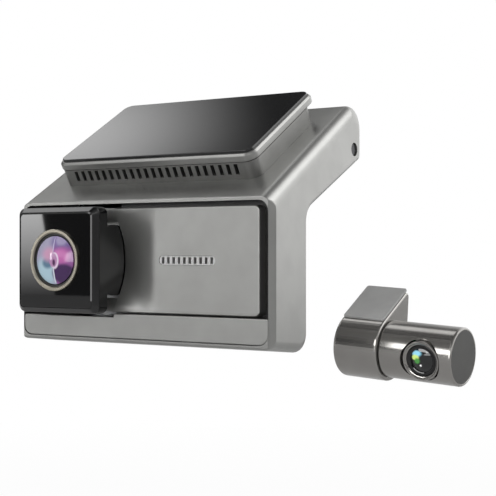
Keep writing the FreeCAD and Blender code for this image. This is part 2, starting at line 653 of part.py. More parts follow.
def pod_body():
    """The pod shell: open at the back for the yoke's arms, with a blind bore in each side wall."""
    left = POD_LEFT + POD_WALL
    right = POD_RIGHT - POD_WALL
    front_room = box(left, right, POD_INNER_FRONT_Y, POD_FULL_BACK_Y, -POD_INNER_HALF_H, POD_INNER_HALF_H)
    back_room = box(left, right, POD_INNER_FRONT_Y, TILT_Y + 2 * DRUM_R, -POD_INNER_BACK_HALF_H,
                    POD_INNER_BACK_HALF_H)
    body = pod_outer().cut(front_room).cut(back_room)
    body = body.cut(rod(V(POD_X, POD_FACE_Y, 0), Y_AXIS, BARREL_R, POD_WALL * 3))
    for side in (-1, 1):
        start = V(POD_X + side * (POD_HALF_W - POD_WALL), TILT_Y, 0)
        body = body.cut(rod(start, X_AXIS * side, PIN_R + PIN_FIT, PIN_BORE_DEPTH + PIN_FIT))
    return body.removeSplitter()


def pod_front_glass():
    """The glossy front plate with a hole for the ring."""
    plate = rounded_slab(POD_X - GLASS_HALF_W, POD_X + GLASS_HALF_W, POD_FACE_Y, POD_FACE_Y + GLASS_THICK,
                         -GLASS_HALF_H, GLASS_HALF_H, GLASS_CORNER, Y_AXIS)
    return plate.cut(rod(V(POD_X, POD_FACE_Y - OVER, 0), Y_AXIS, RING_R, GLASS_THICK + 2 * OVER))


RING_FACE_Y = POD_FACE_Y - RING_PROUD
LENS_EDGE_Y = RING_FACE_Y + LENS_SINK


def lens_ring():
    """The pale metal ring round the lens."""
    return tube(V(POD_X, RING_FACE_Y, 0), Y_AXIS, RING_R, GAP_RING_R, GLASS_BACK_Y - RING_FACE_Y)


def lens_gap_ring():
    """The black ring between the metal ring and the front element."""
    return tube(V(POD_X, LENS_EDGE_Y, 0), Y_AXIS, GAP_RING_R, LENS_R, GLASS_BACK_Y - LENS_EDGE_Y)


def domed_disc(radius, dome, edge_y, back_y):
    """A lens element: a flat-backed disc with a ball-shaped front."""
    ball_r = (radius ** 2 + dome ** 2) / (2 * dome)
    ball = Part.makeSphere(ball_r, V(POD_X, edge_y - dome + ball_r, 0))
    front_y = edge_y - dome - OVER
    return rod(V(POD_X, front_y, 0), Y_AXIS, radius, back_y - front_y).common(ball)


def lens_front_element():
    """The coated front element."""
    return domed_disc(LENS_R, LENS_DOME, LENS_EDGE_Y, GLASS_BACK_Y)


def lens_barrel():
    """The tube behind the front element."""
    return tube(V(POD_X, GLASS_BACK_Y, 0), Y_AXIS, BARREL_R, BARREL_BORE_R, BARREL_BACK_Y - GLASS_BACK_Y)


APERTURE_Y = -5.0
APERTURE_R = 2.6
APERTURE_THICK = 0.5
REAR_ELEMENT_THICK = 2.5
SENSOR_HALF = 3.6
SENSOR_THICK = 1.0
SENSOR_BOARD_HALF_W = 11.0
SENSOR_BOARD_HALF_H = POD_INNER_BACK_HALF_H - 0.8


def aperture_disc():
    """The thin disc with the stop."""
    return tube(V(POD_X, APERTURE_Y, 0), Y_AXIS, BARREL_BORE_R, APERTURE_R, APERTURE_THICK)


def lens_rear_element():
    """The second element, against the stop."""
    return domed_disc(BARREL_BORE_R, LENS_DOME / 2, APERTURE_Y + APERTURE_THICK + LENS_DOME / 2,
                      APERTURE_Y + APERTURE_THICK + REAR_ELEMENT_THICK)


def image_sensor():
    """The sensor chip, just inside the back of the barrel."""
    return box(POD_X - SENSOR_HALF, POD_X + SENSOR_HALF, BARREL_BACK_Y - SENSOR_THICK, BARREL_BACK_Y,
               -SENSOR_HALF, SENSOR_HALF)


def sensor_board():
    """The pod's small board, against the back of the barrel."""
    return box(POD_X - SENSOR_BOARD_HALF_W, POD_X + SENSOR_BOARD_HALF_W, BARREL_BACK_Y,
               BARREL_BACK_Y + BOARD_THICK, -SENSOR_BOARD_HALF_H, SENSOR_BOARD_HALF_H)


def yoke_arm_face(side):
    """X of the outer face of one yoke arm."""
    return POD_X + side * (POD_HALF_W - POD_WALL - ARM_X_GAP)


def pod_yoke():
    """The fork that carries the pod: a back plate with two tabs, and an arm inside each side wall."""
    half_h = 2 * YOKE_ARM_HALF_H
    plate = box(POD_LEFT, POD_RIGHT, YOKE_SEAT_Y, YOKE_BACK_Y, -half_h, half_h)
    tab_h = YOKE_SCREW_Z + YOKE_TAB_PAST
    tab = box(YOKE_TAB_X - YOKE_TAB_HALF_W, YOKE_TAB_X + YOKE_TAB_HALF_W, YOKE_SEAT_Y, YOKE_BACK_Y,
              -tab_h, tab_h)
    pieces = [plate, tab]
    for side in (-1, 1):
        outer = yoke_arm_face(side)
        low, high = sorted((outer, outer - side * YOKE_THICK))
        pieces.append(box(low, high, TILT_Y, YOKE_BACK_Y, -YOKE_ARM_HALF_H, YOKE_ARM_HALF_H))
        pieces.append(rod(V(low, TILT_Y, 0), X_AXIS, YOKE_ARM_HALF_H, YOKE_THICK))
    yoke = pieces[0].multiFuse(pieces[1:])
    for z in (-YOKE_SCREW_Z, YOKE_SCREW_Z):
        yoke = yoke.cut(rod(V(YOKE_TAB_X, YOKE_SEAT_Y - OVER, z), Y_AXIS, SCREW_R, 2 * YOKE_THICK))
    for side in (-1, 1):
        start = V(yoke_arm_face(side) - side * 2 * YOKE_THICK, TILT_Y, 0)
        yoke = yoke.cut(rod(start, X_AXIS * side, PIN_R, 3 * YOKE_THICK))
    return yoke.removeSplitter()


def axle_pins():
    """Two pins pressed into the yoke's arms that run in the pod's side walls."""
    pins = []
    for side in (-1, 1):
        start = V(yoke_arm_face(side) - side * YOKE_THICK, TILT_Y, 0)
        pins.append(rod(start, X_AXIS * side, PIN_R, YOKE_THICK + ARM_X_GAP + PIN_BORE_DEPTH - PIN_FIT))
    return pins


def friction_washers():
    """A washer on each pin holds the pod where it is set."""
    washers = []
    for side in (-1, 1):
        start = V(yoke_arm_face(side), TILT_Y, 0)
        washers.append(tube(start, X_AXIS * side, WASHER_R, PIN_R, ARM_X_GAP - PIN_FIT))
    return washers


def yoke_screws():
    """Two screws hold the yoke to the shell's blocks."""
    return [screw(V(YOKE_TAB_X, YOKE_BACK_Y + SCREW_HEAD_H, z), Y_AXIS * -1, YOKE_BOSS_DEPTH)
            for z in (-YOKE_SCREW_Z, YOKE_SCREW_Z)]


# ---- windscreen mount -----------------------------------------------------------------------------------
def slope_slab(half_w, s0, s1, h0, h1, radius):
    """A rounded plate on the slope, centred on the mount."""
    return rounded_slab(MOUNT_X - half_w, MOUNT_X + half_w, s0, s1, h0, h1, radius, Z_AXIS)


TRAY_H0 = BASE_H + SLIDE_GAP
TRAY_H1 = PLATE_TOP_H - PLATE_THICK
NECK_H = BASE_H - DECK_THICK
HEAD_H0 = NECK_H - FOOT_FIT - HEAD_THICK


def mount_base():
    """The riser with its row of vents, and the keyhole slots that the tray's feet slide in."""
    base = slope_slab(BASE_HALF_W, BASE_S0, BASE_S1, 0, BASE_H, BASE_CORNER)
    hollow = slope_slab(BASE_HALF_W - BASE_WALL, BASE_S0 + BASE_WALL, BASE_S1 - BASE_WALL, -OVER,
                        BASE_H - DECK_THICK, BASE_CORNER - BASE_WALL)
    base = base.cut(hollow)
    vent_h1 = BASE_H - VENT_BELOW_TOP
    vents = []
    for i in range(VENTS):
        x = MOUNT_X + (i - (VENTS - 1) / 2) * VENT_PITCH
        vents.append(box(x - VENT_W / 2, x + VENT_W / 2, BASE_S0 - OVER, BASE_S0 + BASE_WALL + OVER,
                         vent_h1 - VENT_H, vent_h1))
    base = base.cut(Part.makeCompound(vents))
    for s in FOOT_S:
        reach = FOOT_HALF_LEN + FOOT_FIT
        neck_w = NECK_HALF_W + FOOT_FIT
        head_w = HEAD_HALF_W + FOOT_FIT
        neck = box(MOUNT_X - neck_w, MOUNT_X + neck_w, s - RELEASE - reach, s + reach, 0, 2 * BASE_H)
        window = box(MOUNT_X - head_w, MOUNT_X + head_w, s - RELEASE - reach, s - RELEASE + reach, 0,
                     2 * BASE_H)
        base = base.cut(neck).cut(window)
    return on_slope(base)


def mount_tray():
    """The frame under the plate, with two T-shaped feet."""
    tray = slope_slab(TRAY_HALF_W, TRAY_S0, TRAY_S1, TRAY_H0, TRAY_H1, TRAY_CORNER)
    top = [edge for edge in tray.Edges if all(abs(v.Point.z - TRAY_H1) < 0.01 for v in edge.Vertexes)]
    tray = tray.makeChamfer(PLATE_THICK, top)
    feet = []
    for s in FOOT_S:
        feet.append(box(MOUNT_X - NECK_HALF_W, MOUNT_X + NECK_HALF_W, s - FOOT_HALF_LEN, s + FOOT_HALF_LEN,
                        HEAD_H0, TRAY_H0))
        feet.append(box(MOUNT_X - HEAD_HALF_W, MOUNT_X + HEAD_HALF_W, s - FOOT_HALF_LEN, s + FOOT_HALF_LEN,
                        HEAD_H0, HEAD_H0 + HEAD_THICK))
    return on_slope(tray.multiFuse(feet).removeSplitter())


def mount_plate():
    """The glossy plate that sticks to the windscreen."""
    return on_slope(slope_slab(PLATE_HALF_W, PLATE_S0, PLATE_S1, TRAY_H1, PLATE_TOP_H, PLATE_CORNER))


# ---- front unit: rear face and electronics --------------------------------------------------------------
BUTTON_Z0 = (BEZEL_BOTTOM + BEZEL_TOP) / 2
BUTTON_FLANGE = 0.6
BUTTON_ROOM = 0.8           # flange in front of the bezel
BUTTON_BACK_Y = SLAB_DEPTH - BEZEL_THICK - BUTTON_FIT - BUTTON_ROOM
BUTTON_POST_R = 1.0
BUTTON_POST_SIDE = 1.6
BUTTON_POST_END = 3.4
BUTTON_POST_X = BEZEL_HALF_W - BUTTON_POST_SIDE
BUTTON_POST_Z = (BEZEL_BOTTOM + BUTTON_POST_END, BEZEL_TOP - BUTTON_POST_END)
BUTTON_BOARD_EDGE = 1.0


def button_z(index):
    """Height of one button, counted from the bottom."""
    return BUTTON_Z0 + (index - (BUTTONS - 1) / 2) * BUTTON_PITCH


def rear_bezel():
    """The screen's surround with the button holes and two posts for the button board."""
    front = SLAB_DEPTH - BEZEL_THICK
    bezel = rounded_slab(-BEZEL_HALF_W, BEZEL_HALF_W, front, SLAB_DEPTH, BEZEL_BOTTOM, BEZEL_TOP,
                         BEZEL_CORNER, Y_AXIS)
    window = rounded_slab(SCREEN_LEFT - SEAT_GAP, SCREEN_RIGHT + SEAT_GAP, front - OVER, SLAB_DEPTH + OVER,
                          SCREEN_BOTTOM - SEAT_GAP, SCREEN_TOP + SEAT_GAP, SCREEN_CORNER, Y_AXIS)
    bezel = bezel.cut(window)
    half_w = BUTTON_HALF_W + BUTTON_FIT
    half_h = BUTTON_HALF_H + BUTTON_FIT
    for i in range(BUTTONS):
        z = button_z(i)
        hole = rounded_slab(BUTTON_X - half_w, BUTTON_X + half_w, front - OVER, SLAB_DEPTH + OVER, z - half_h,
                            z + half_h, BUTTON_CORNER, Y_AXIS)
        bezel = bezel.cut(hole)
    length = front - BUTTON_BOARD_Y
    posts = [rod(V(BUTTON_POST_X, BUTTON_BOARD_Y, z), Y_AXIS, BUTTON_POST_R, length) for z in BUTTON_POST_Z]
    return bezel.multiFuse(posts).removeSplitter()


def screen_glass():
    """The cover glass over the display."""
    return rounded_slab(SCREEN_LEFT, SCREEN_RIGHT, SLAB_DEPTH - SCREEN_THICK, SLAB_DEPTH, SCREEN_BOTTOM,
                        SCREEN_TOP, SCREEN_CORNER, Y_AXIS)


def display_panel():
    """The display, bonded behind the glass."""
    back = SLAB_DEPTH - SCREEN_THICK
    return box(SCREEN_LEFT + DISPLAY_BORDER, SCREEN_RIGHT - DISPLAY_BORDER, back - DISPLAY_THICK, back,
               SCREEN_BOTTOM + DISPLAY_BORDER / 2, SCREEN_TOP - DISPLAY_BORDER / 2)


def display_frame():
    """The thin metal tray behind the display."""
    back = SLAB_DEPTH - SCREEN_THICK - DISPLAY_THICK
    return box(SCREEN_LEFT, SCREEN_RIGHT, back - FRAME_THICK, back, SCREEN_BOTTOM, SCREEN_TOP)


def button(index):
    """One push button: its cap, and the flange that keeps it in."""
    z = button_z(index)
    cap = rounded_slab(BUTTON_X - BUTTON_HALF_W, BUTTON_X + BUTTON_HALF_W, BUTTON_BACK_Y,
                       SLAB_DEPTH + BUTTON_PROUD, z - BUTTON_HALF_H, z + BUTTON_HALF_H, BUTTON_CORNER, Y_AXIS)
    wide = BUTTON_HALF_W + BUTTON_FLANGE
    high = BUTTON_HALF_H + BUTTON_FLANGE
    flange = box(BUTTON_X - wide, BUTTON_X + wide, BUTTON_BACK_Y, BUTTON_BACK_Y + BUTTON_FLANGE, z - high,
                 z + high)
    return cap.fuse(flange).removeSplitter()


def button_board():
    """The strip of board behind the buttons."""
    return box(BUTTON_X - BUTTON_HALF_W - BUTTON_BOARD_EDGE, BEZEL_HALF_W - BUTTON_BOARD_EDGE / 2,
               BUTTON_BOARD_Y - BOARD_THICK, BUTTON_BOARD_Y, BEZEL_BOTTOM + BUTTON_BOARD_EDGE,
               BEZEL_TOP - BUTTON_BOARD_EDGE)


def main_board():
    """The main board, on the panel's four posts."""
    left, right = MAIN_BOARD_X
    return box(left, right, BOARD_Y, BOARD_Y + BOARD_THICK, -MAIN_BOARD_HALF_H, MAIN_BOARD_HALF_H)


def processor():
    """The processor on the back of the main board."""
    y0 = BOARD_Y + BOARD_THICK
    return box(CHIP_X - CHIP_HALF, CHIP_X + CHIP_HALF, y0, y0 + CHIP_THICK, -CHIP_HALF, CHIP_HALF)


def heat_sink():
    """The finned block on the processor."""
    y0 = BOARD_Y + BOARD_THICK + CHIP_THICK
    block = box(CHIP_X - SINK_HALF, CHIP_X + SINK_HALF, y0, y0 + SINK_THICK, -SINK_HALF, SINK_HALF)
    for i in range(SINK_SLOTS):
        x = CHIP_X + (i - (SINK_SLOTS - 1) / 2) * SINK_PITCH
        slot = box(x - SINK_PITCH / 4, x + SINK_PITCH / 4, y0 + SINK_THICK / 3, y0 + 2 * SINK_THICK,
                   -2 * SINK_HALF, 2 * SINK_HALF)
        block = block.cut(slot)
    return block


def io_board():
    """The board in the arm, on four posts under the sloping top."""
    return on_slope(box(IO_X[0], IO_X[1], IO_S[0], IO_S[1], IO_H - BOARD_THICK, IO_H))


def supercapacitors():
    """Two storage cells lying on the arm's board."""
    return [on_slope(rod(V(x, CELL_S, IO_H + CELL_R), Y_AXIS, CELL_R, CELL_LEN)) for x in CELL_X]


def gps_antenna():
    """The square ceramic antenna."""
    return on_slope(box(GPS_X, GPS_X + GPS_SIDE, GPS_S, GPS_S + GPS_SIDE, IO_H, IO_H + GPS_THICK))


def usb_inlet():
    """The power inlet: a metal shell with a tongue."""
    x0 = -HALF_W + WALL
    s0, s1 = USB_S[0] + SEAT_GAP, USB_S[1] - SEAT_GAP
    h0, h1 = INLET_H
    shell = box(x0, x0 + USB_DEPTH, s0, s1, h0, h1)
    skin = USB_SKIN
    shell = shell.cut(box(x0 - OVER, x0 + USB_DEPTH - OVER, s0 + skin, s1 - skin, h0 + skin, h1 - skin))
    gap = 3 * skin
    tongue = box(x0 + USB_TONGUE_IN, x0 + USB_DEPTH, s0 + gap, s1 - gap, h0 + gap, h1 - gap)
    return on_slope(shell.fuse(tongue))


def camera_jack():
    """The round inlet for the rear camera's lead."""
    x0 = -HALF_W + WALL
    body = box(x0, x0 + JACK_DEPTH, JACK_S - JACK_HALF, JACK_S + JACK_HALF, IO_H, IO_H + 2 * JACK_HALF)
    bore = rod(V(x0 - OVER, JACK_S, IO_H + JACK_R + SEAT_GAP), X_AXIS, JACK_R - JACK_SKIN, JACK_DEPTH)
    return on_slope(body.cut(bore))


def card_slot():
    """The holder that the memory card slides into."""
    x0 = -HALF_W + WALL
    body = box(x0, x0 + CARD_LEN, CARD_S[0] - SLOT_SKIN, CARD_S[1] + SLOT_SKIN, IO_H, CARD_H[1] + SLOT_SKIN)
    room = box(x0 - OVER, x0 + CARD_LEN - WALL, CARD_S[0] - CARD_FIT, CARD_S[1] + CARD_FIT,
               CARD_H[0] - CARD_FIT, CARD_H[1] + CARD_FIT)
    return on_slope(body.cut(room))


def memory_card():
    """The memory card, its end just outside the flank."""
    x0 = -HALF_W - CARD_PROUD
    return on_slope(box(x0, x0 + CARD_LEN, CARD_S[0], CARD_S[1], CARD_H[0], CARD_H[1]))


# ---- rear camera ----------------------------------------------------------------------------------------
# Drawn with X along the barrel to its flat end, Y back and Z up, from the centre of the flat end.
REAR_FACE_X = -REAR_BARREL_LEN          # the bracket's face beside the barrel
REAR_LEFT_X = REAR_FACE_X - REAR_BRACKET_W
REAR_LENS_DIR = V(0, -math.cos(math.radians(REAR_LENS_TILT)), -math.sin(math.radians(REAR_LENS_TILT)))
REAR_LENS_AT = V(-REAR_LENS_BACK, 0, 0)
REAR_SEAT = 6.4                         # floor of the bezel's seat from the barrel's axis


def place_rear(shape):
    """Turn and move a rear camera piece to where the unit sits."""
    placed = shape.copy()
    placed.rotate(V(0, 0, 0), Y_AXIS, REAR_ROLL)
    placed.rotate(V(0, 0, 0), Z_AXIS, -REAR_YAW)
    placed.translate(REAR_CAP_AT)
    return placed


def rear_points(inset):
    """Points of the bracket's side outline, moved in: where the flat starts, its top, and the heel."""
    angle = math.radians(REAR_FLAT_ANGLE)
    radius = REAR_BRACKET_R - inset
    start = V(0, -math.sin(angle), math.cos(angle)) * radius
    along = V(0, math.cos(angle), math.sin(angle))
    heel = V(0, radius, 0)
    top = start + along * ((heel.y - start.y) / along.y)
    return start, top, heel


def rear_outline(x0, x1, inset):
    """The bracket's drop shape: a round foot and a flat that rises back to meet the windscreen."""
    start, top, heel = rear_points(inset)
    foot = V(0, -1, -1).normalize() * (REAR_BRACKET_R - inset)
    arc = Part.Arc(start, foot, heel).toShape()
    wire = Part.Wire([arc, Part.makeLine(heel, top), Part.makeLine(top, start)])
    body = Part.Face(wire).extrude(V(x1 - x0, 0, 0))
    body.translate(V(x0, 0, 0))
    return body


def flat_slab(s0, s1, x0, x1, depth, thick):
    """A plate lying on the bracket's flat; depth is how far its upper face stands off."""
    start, top = rear_points(0)[:2]
    along = (top - start).normalize()
    up = V(0, -along.z, along.y)
    corners = [start + along * s0 + up * (depth - thick), start + along * s1 + up * (depth - thick),
               start + along * s1 + up * depth, start + along * s0 + up * depth]
    return outline_prism([(c.y, c.z) for c in corners], x0, x1)


def rear_flat_len():
    """Length of the flat."""
    start, top = rear_points(0)[:2]
    return (top - start).Length


REAR_LID_EDGE = 2.0
REAR_LID_S1 = rear_flat_len() - REAR_LID_EDGE - REAR_WALL / 2
REAR_INLET_R = 2.4
REAR_INLET_WALL = 0.9
REAR_INLET_LEN = 6.0
REAR_INLET_X = REAR_LEFT_X + REAR_BRACKET_W / 2
REAR_INLET_Z = 2.0


def rear_bracket():
    """The bracket: hollow, open under its flat, with a boss that holds the pivot pin."""
    body = rear_outline(REAR_LEFT_X, REAR_FACE_X, 0)
    room = rear_outline(REAR_LEFT_X + REAR_WALL, REAR_FACE_X - REAR_WALL, REAR_WALL)
    body = body.cut(room)
    lid_room = flat_slab(REAR_LID_EDGE, REAR_LID_S1, REAR_LEFT_X + REAR_LID_EDGE, REAR_FACE_X - REAR_LID_EDGE,
                         OVER, OVER + 2 * REAR_WALL)
    body = body.cut(lid_room)
    boss = rod(V(REAR_FACE_X - REAR_PIN_DEPTH - REAR_WALL, 0, 0), X_AXIS, REAR_PIN_R + REAR_WALL,
               REAR_PIN_DEPTH + REAR_WALL / 2)
    body = body.fuse(boss)
    body = body.cut(rod(V(REAR_FACE_X - REAR_PIN_DEPTH, 0, 0), X_AXIS, REAR_PIN_R, 2 * REAR_PIN_DEPTH))
    inlet = rod(V(REAR_INLET_X, 0, REAR_INLET_Z), Y_AXIS, REAR_INLET_R, 2 * REAR_BRACKET_R)
    return body.cut(inlet).removeSplitter()


def rear_lid():
    """The plate that closes the bracket under the pad."""
    return flat_slab(REAR_LID_EDGE + SEAT_GAP, REAR_LID_S1 - SEAT_GAP, REAR_LEFT_X + REAR_LID_EDGE + SEAT_GAP,
                     REAR_FACE_X - REAR_LID_EDGE - SEAT_GAP, 0, REAR_WALL)


def rear_pad():
    """The adhesive pad on the flat."""
    return flat_slab(REAR_PAD_EDGE, rear_flat_len() - REAR_PAD_EDGE, REAR_LEFT_X + REAR_PAD_EDGE,
                     REAR_FACE_X - REAR_PAD_EDGE, REAR_PAD_THICK, REAR_PAD_THICK)


def rear_cable_inlet():
    """The round inlet on the bracket's back."""
    start = V(REAR_INLET_X, REAR_BRACKET_R - REAR_INLET_LEN, REAR_INLET_Z)
    return tube(start, Y_AXIS, REAR_INLET_R, REAR_INLET_R - REAR_INLET_WALL, REAR_INLET_LEN)


PIN_HEAD_R = REAR_PIN_R + REAR_WALL
PIN_HEAD_THICK = 1.2
BARREL_LEFT_X = REAR_FACE_X + REAR_GAP
BARREL_WALL_X = BARREL_LEFT_X + REAR_WALL


def rear_pivot_pin():
    """The pin that the barrel turns on, with a head inside the barrel, and a bore for the wires."""
    x0 = REAR_FACE_X - REAR_PIN_DEPTH
    x1 = BARREL_WALL_X + REAR_GAP
    pin = rod(V(x0, 0, 0), X_AXIS, REAR_PIN_R, x1 - x0)
    head = rod(V(x1, 0, 0), X_AXIS, PIN_HEAD_R, PIN_HEAD_THICK)
    return pin.fuse(head).cut(rod(V(x0 - OVER, 0, 0), X_AXIS, REAR_PIN_R / 2, 3 * REAR_PIN_DEPTH))


def rear_friction_washer():
    """The washer between the bracket and the barrel."""
    return tube(V(REAR_FACE_X, 0, 0), X_AXIS, REAR_BARREL_R - REAR_LID_EDGE, REAR_PIN_R, REAR_GAP - PIN_FIT)


def rear_barrel():
    """The turning barrel: open at the flat end, with a seat cut for the lens bezel."""
    outer = rod(V(BARREL_LEFT_X, 0, 0), X_AXIS, REAR_BARREL_R, -REAR_CAP_THICK - BARREL_LEFT_X)
    room = rod(V(BARREL_WALL_X, 0, 0), X_AXIS, REAR_BARREL_R - REAR_WALL, -BARREL_WALL_X)
    body = outer.cut(room)
    body = body.cut(rod(V(BARREL_LEFT_X - OVER, 0, 0), X_AXIS, REAR_PIN_R + PIN_FIT, REAR_PIN_DEPTH))
    return body.cut(rod(REAR_LENS_AT + REAR_LENS_DIR * REAR_SEAT, REAR_LENS_DIR, REAR_BEZEL_R + PIN_FIT,
                        REAR_BARREL_R))


def rear_end_cap():
    """The flat end cap with its spigot."""
    disc = rod(V(-REAR_CAP_THICK, 0, 0), X_AXIS, REAR_BARREL_R, REAR_CAP_THICK)
    spigot = tube(V(-REAR_CAP_THICK - REAR_SPIGOT, 0, 0), X_AXIS, REAR_BARREL_R - REAR_WALL - PIN_FIT,
                  REAR_BARREL_R - 2 * REAR_WALL, REAR_SPIGOT)
    return disc.fuse(spigot)


def along_lens(radius, bore, start, end):
    """A ring about the rear lens axis, between two distances from the barrel's axis."""
    return tube(REAR_LENS_AT + REAR_LENS_DIR * start, REAR_LENS_DIR, radius, bore, end - start)


REAR_HOLDER_R = REAR_BEZEL_R - REAR_BEZEL_WIDTH
REAR_HOLDER_SINK = 0.4                  # behind the rim's face
REAR_TUBE_WALL = 0.6
REAR_BORE_R = REAR_LENS_R - REAR_TUBE_WALL
REAR_BALL_R = 9.0
REAR_GLASS_PROUD = 0.2
REAR_INNER_AT = 3.6                     # second element, from the barrel's axis
REAR_INNER_THICK = 2.0
REAR_BOARD_FACE = 0.6
REAR_BOARD_THICK = 1.0
REAR_BOARD_HALF = 7.5
REAR_CHIP_HALF = 2.4
REAR_CHIP_THICK = 1.4


def rear_lens_bezel():
    """The bright rim round the rear lens."""
    return along_lens(REAR_BEZEL_R, REAR_HOLDER_R, REAR_SEAT, REAR_BEZEL_OUT)


def rear_lens_holder():
    """The black holder inside the rim."""
    front = along_lens(REAR_HOLDER_R, REAR_LENS_R, REAR_SEAT, REAR_BEZEL_OUT - REAR_HOLDER_SINK)
    return front.fuse(along_lens(REAR_LENS_R + REAR_TUBE_WALL, REAR_BORE_R, REAR_BOARD_FACE, REAR_SEAT))


def rear_lens_glass():
    """The rear camera's front element."""
    edge = REAR_LENS_AT + REAR_LENS_DIR * REAR_SEAT
    middle = REAR_LENS_AT + REAR_LENS_DIR * (REAR_BEZEL_OUT + REAR_GLASS_PROUD - REAR_BALL_R)
    ball = Part.makeSphere(REAR_BALL_R, middle)
    return rod(edge, REAR_LENS_DIR, REAR_LENS_R, REAR_BARREL_R).common(ball)


def rear_inner_lens():
    """The element behind the front one."""
    return rod(REAR_LENS_AT + REAR_LENS_DIR * REAR_INNER_AT, REAR_LENS_DIR, REAR_BORE_R, REAR_INNER_THICK)


def rear_sensor():
    """The sensor chip behind the lens."""
    chip = box(-REAR_LENS_BACK - REAR_CHIP_HALF, -REAR_LENS_BACK + REAR_CHIP_HALF,
               -REAR_BOARD_FACE - REAR_CHIP_THICK, -REAR_BOARD_FACE, -REAR_CHIP_HALF, REAR_CHIP_HALF)
    chip.rotate(V(0, 0, 0), X_AXIS, REAR_LENS_TILT)
    return chip


def rear_board():
    """The rear camera's board."""
    plate = box(-REAR_LENS_BACK - REAR_BOARD_HALF, -REAR_LENS_BACK + REAR_BOARD_HALF, -REAR_BOARD_FACE,
                REAR_BOARD_THICK - REAR_BOARD_FACE, -REAR_BOARD_HALF, REAR_BOARD_HALF)
    plate.rotate(V(0, 0, 0), X_AXIS, REAR_LENS_TILT)
    return plate


# ---- write every node -----------------------------------------------------------------------------------
HOUSING_NODES = {
    "housing_shell": housing_shell, "front_panel": front_panel, "speaker_grille": speaker_grille,
    "speaker_driver": speaker_driver, "chin_trim": chin_trim, "mount_base": mount_base,
    "rear_bezel": rear_bezel, "screen_glass": screen_glass, "display_panel": display_panel,
    "display_frame": display_frame, "arm_cover": arm_cover, "arm_cover_screws": arm_cover_screws,
    "side_screws": side_screws, "pod_yoke": pod_yoke, "yoke_screws": yoke_screws, "axle_pins": axle_pins,
    "friction_washers": friction_washers, "main_board": main_board, "processor": processor,
    "heat_sink": heat_sink, "button_board": button_board, "io_board": io_board,
    "supercapacitors": supercapacitors, "gps_antenna": gps_antenna,
    "usb_inlet": usb_inlet, "camera_jack": camera_jack, "card_slot": card_slot,
    "memory_card": memory_card,
}
POD_NODES = {
    "pod_body": pod_body, "pod_front_glass": pod_front_glass, "lens_ring": lens_ring,
    "lens_gap_ring": lens_gap_ring, "lens_front_element": lens_front_element, "lens_barrel": lens_barrel,
    "aperture_disc": aperture_disc, "lens_rear_element": lens_rear_element, "image_sensor": image_sensor,
    "sensor_board": sensor_board,
}
MOUNT_NODES = {"mount_tray": mount_tray, "mount_plate": mount_plate}
REAR_NODES = {
    "rear_bracket": rear_bracket, "rear_lid": rear_lid, "rear_pad": rear_pad,
    "rear_cable_inlet": rear_cable_inlet, "rear_pivot_pin": rear_pivot_pin,
    "rear_friction_washer": rear_friction_washer, "rear_barrel": rear_barrel, "rear_end_cap": rear_end_cap,
    "rear_lens_bezel": rear_lens_bezel, "rear_lens_holder": rear_lens_holder,
    "rear_lens_glass": rear_lens_glass, "rear_inner_lens": rear_inner_lens, "rear_sensor": rear_sensor,
    "rear_board": rear_board,
}

os.makedirs("parts", exist_ok=True)
for group in (HOUSING_NODES, POD_NODES, MOUNT_NODES):
    for name, make in group.items():
        made = make()
        save(name, *(made if isinstance(made, list) else [made]))
for name, make in REAR_NODES.items():
    save(name, place_rear(make()))
for number in range(BUTTONS):
    save("button_%d" % (number + 1), button(number))


def report_places():
    """Print the places that joints and mounts use, in metres from the origin."""
    slope_dir = slope_point(0, 1, 0) - slope_point(0, 0, 0)
    slope_up = slope_point(0, 0, 1) - slope_point(0, 0, 0)
    rear_axis = place_rear(Part.Vertex(X_AXIS)).Point - REAR_CAP_AT
    start, top, heel = rear_points(0)
    along = (top - start).normalize()
    pad = (start + top) * 0.5 + V(0, -along.z, along.y) * REAR_PAD_THICK
    pad = place_rear(Part.Vertex(pad + X_AXIS * ((REAR_LEFT_X + REAR_FACE_X) / 2))).Point
    pad_dir = place_rear(Part.Vertex(V(0, -along.z, along.y))).Point - REAR_CAP_AT
    places = {
        "slope direction": slope_dir * 1000, "slope normal": slope_up * 1000,
        "tilt axis at": TILT_AT - ORIGIN, "rear axis": rear_axis * 1000, "rear axis at": REAR_CAP_AT - ORIGIN,
        "rear pad at": pad - ORIGIN, "rear pad normal": pad_dir * 1000, "drawing zero": ORIGIN * -1,
        "card at": slope_point(-HALF_W, (CARD_S[0] + CARD_S[1]) / 2, sum(CARD_H) / 2) - ORIGIN,
        "usb at": slope_point(-HALF_W, sum(USB_S) / 2, sum(INLET_H) / 2) - ORIGIN,
    }
    for label, place in places.items():
        print("%-18s %9.5f %9.5f %9.5f" % (label, place.x / 1000, place.y / 1000, place.z / 1000))


report_places()
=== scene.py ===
# %% [markdown]
# A dash camera in two units. The front unit hangs under the windscreen: an L-shaped moulding with a lens pod
# that tilts, a speaker grille and a vented mount. The rear camera is a barrel in a small bracket.
# The construction is loaded first and never changed. Every piece made here is laid over it, in metres.

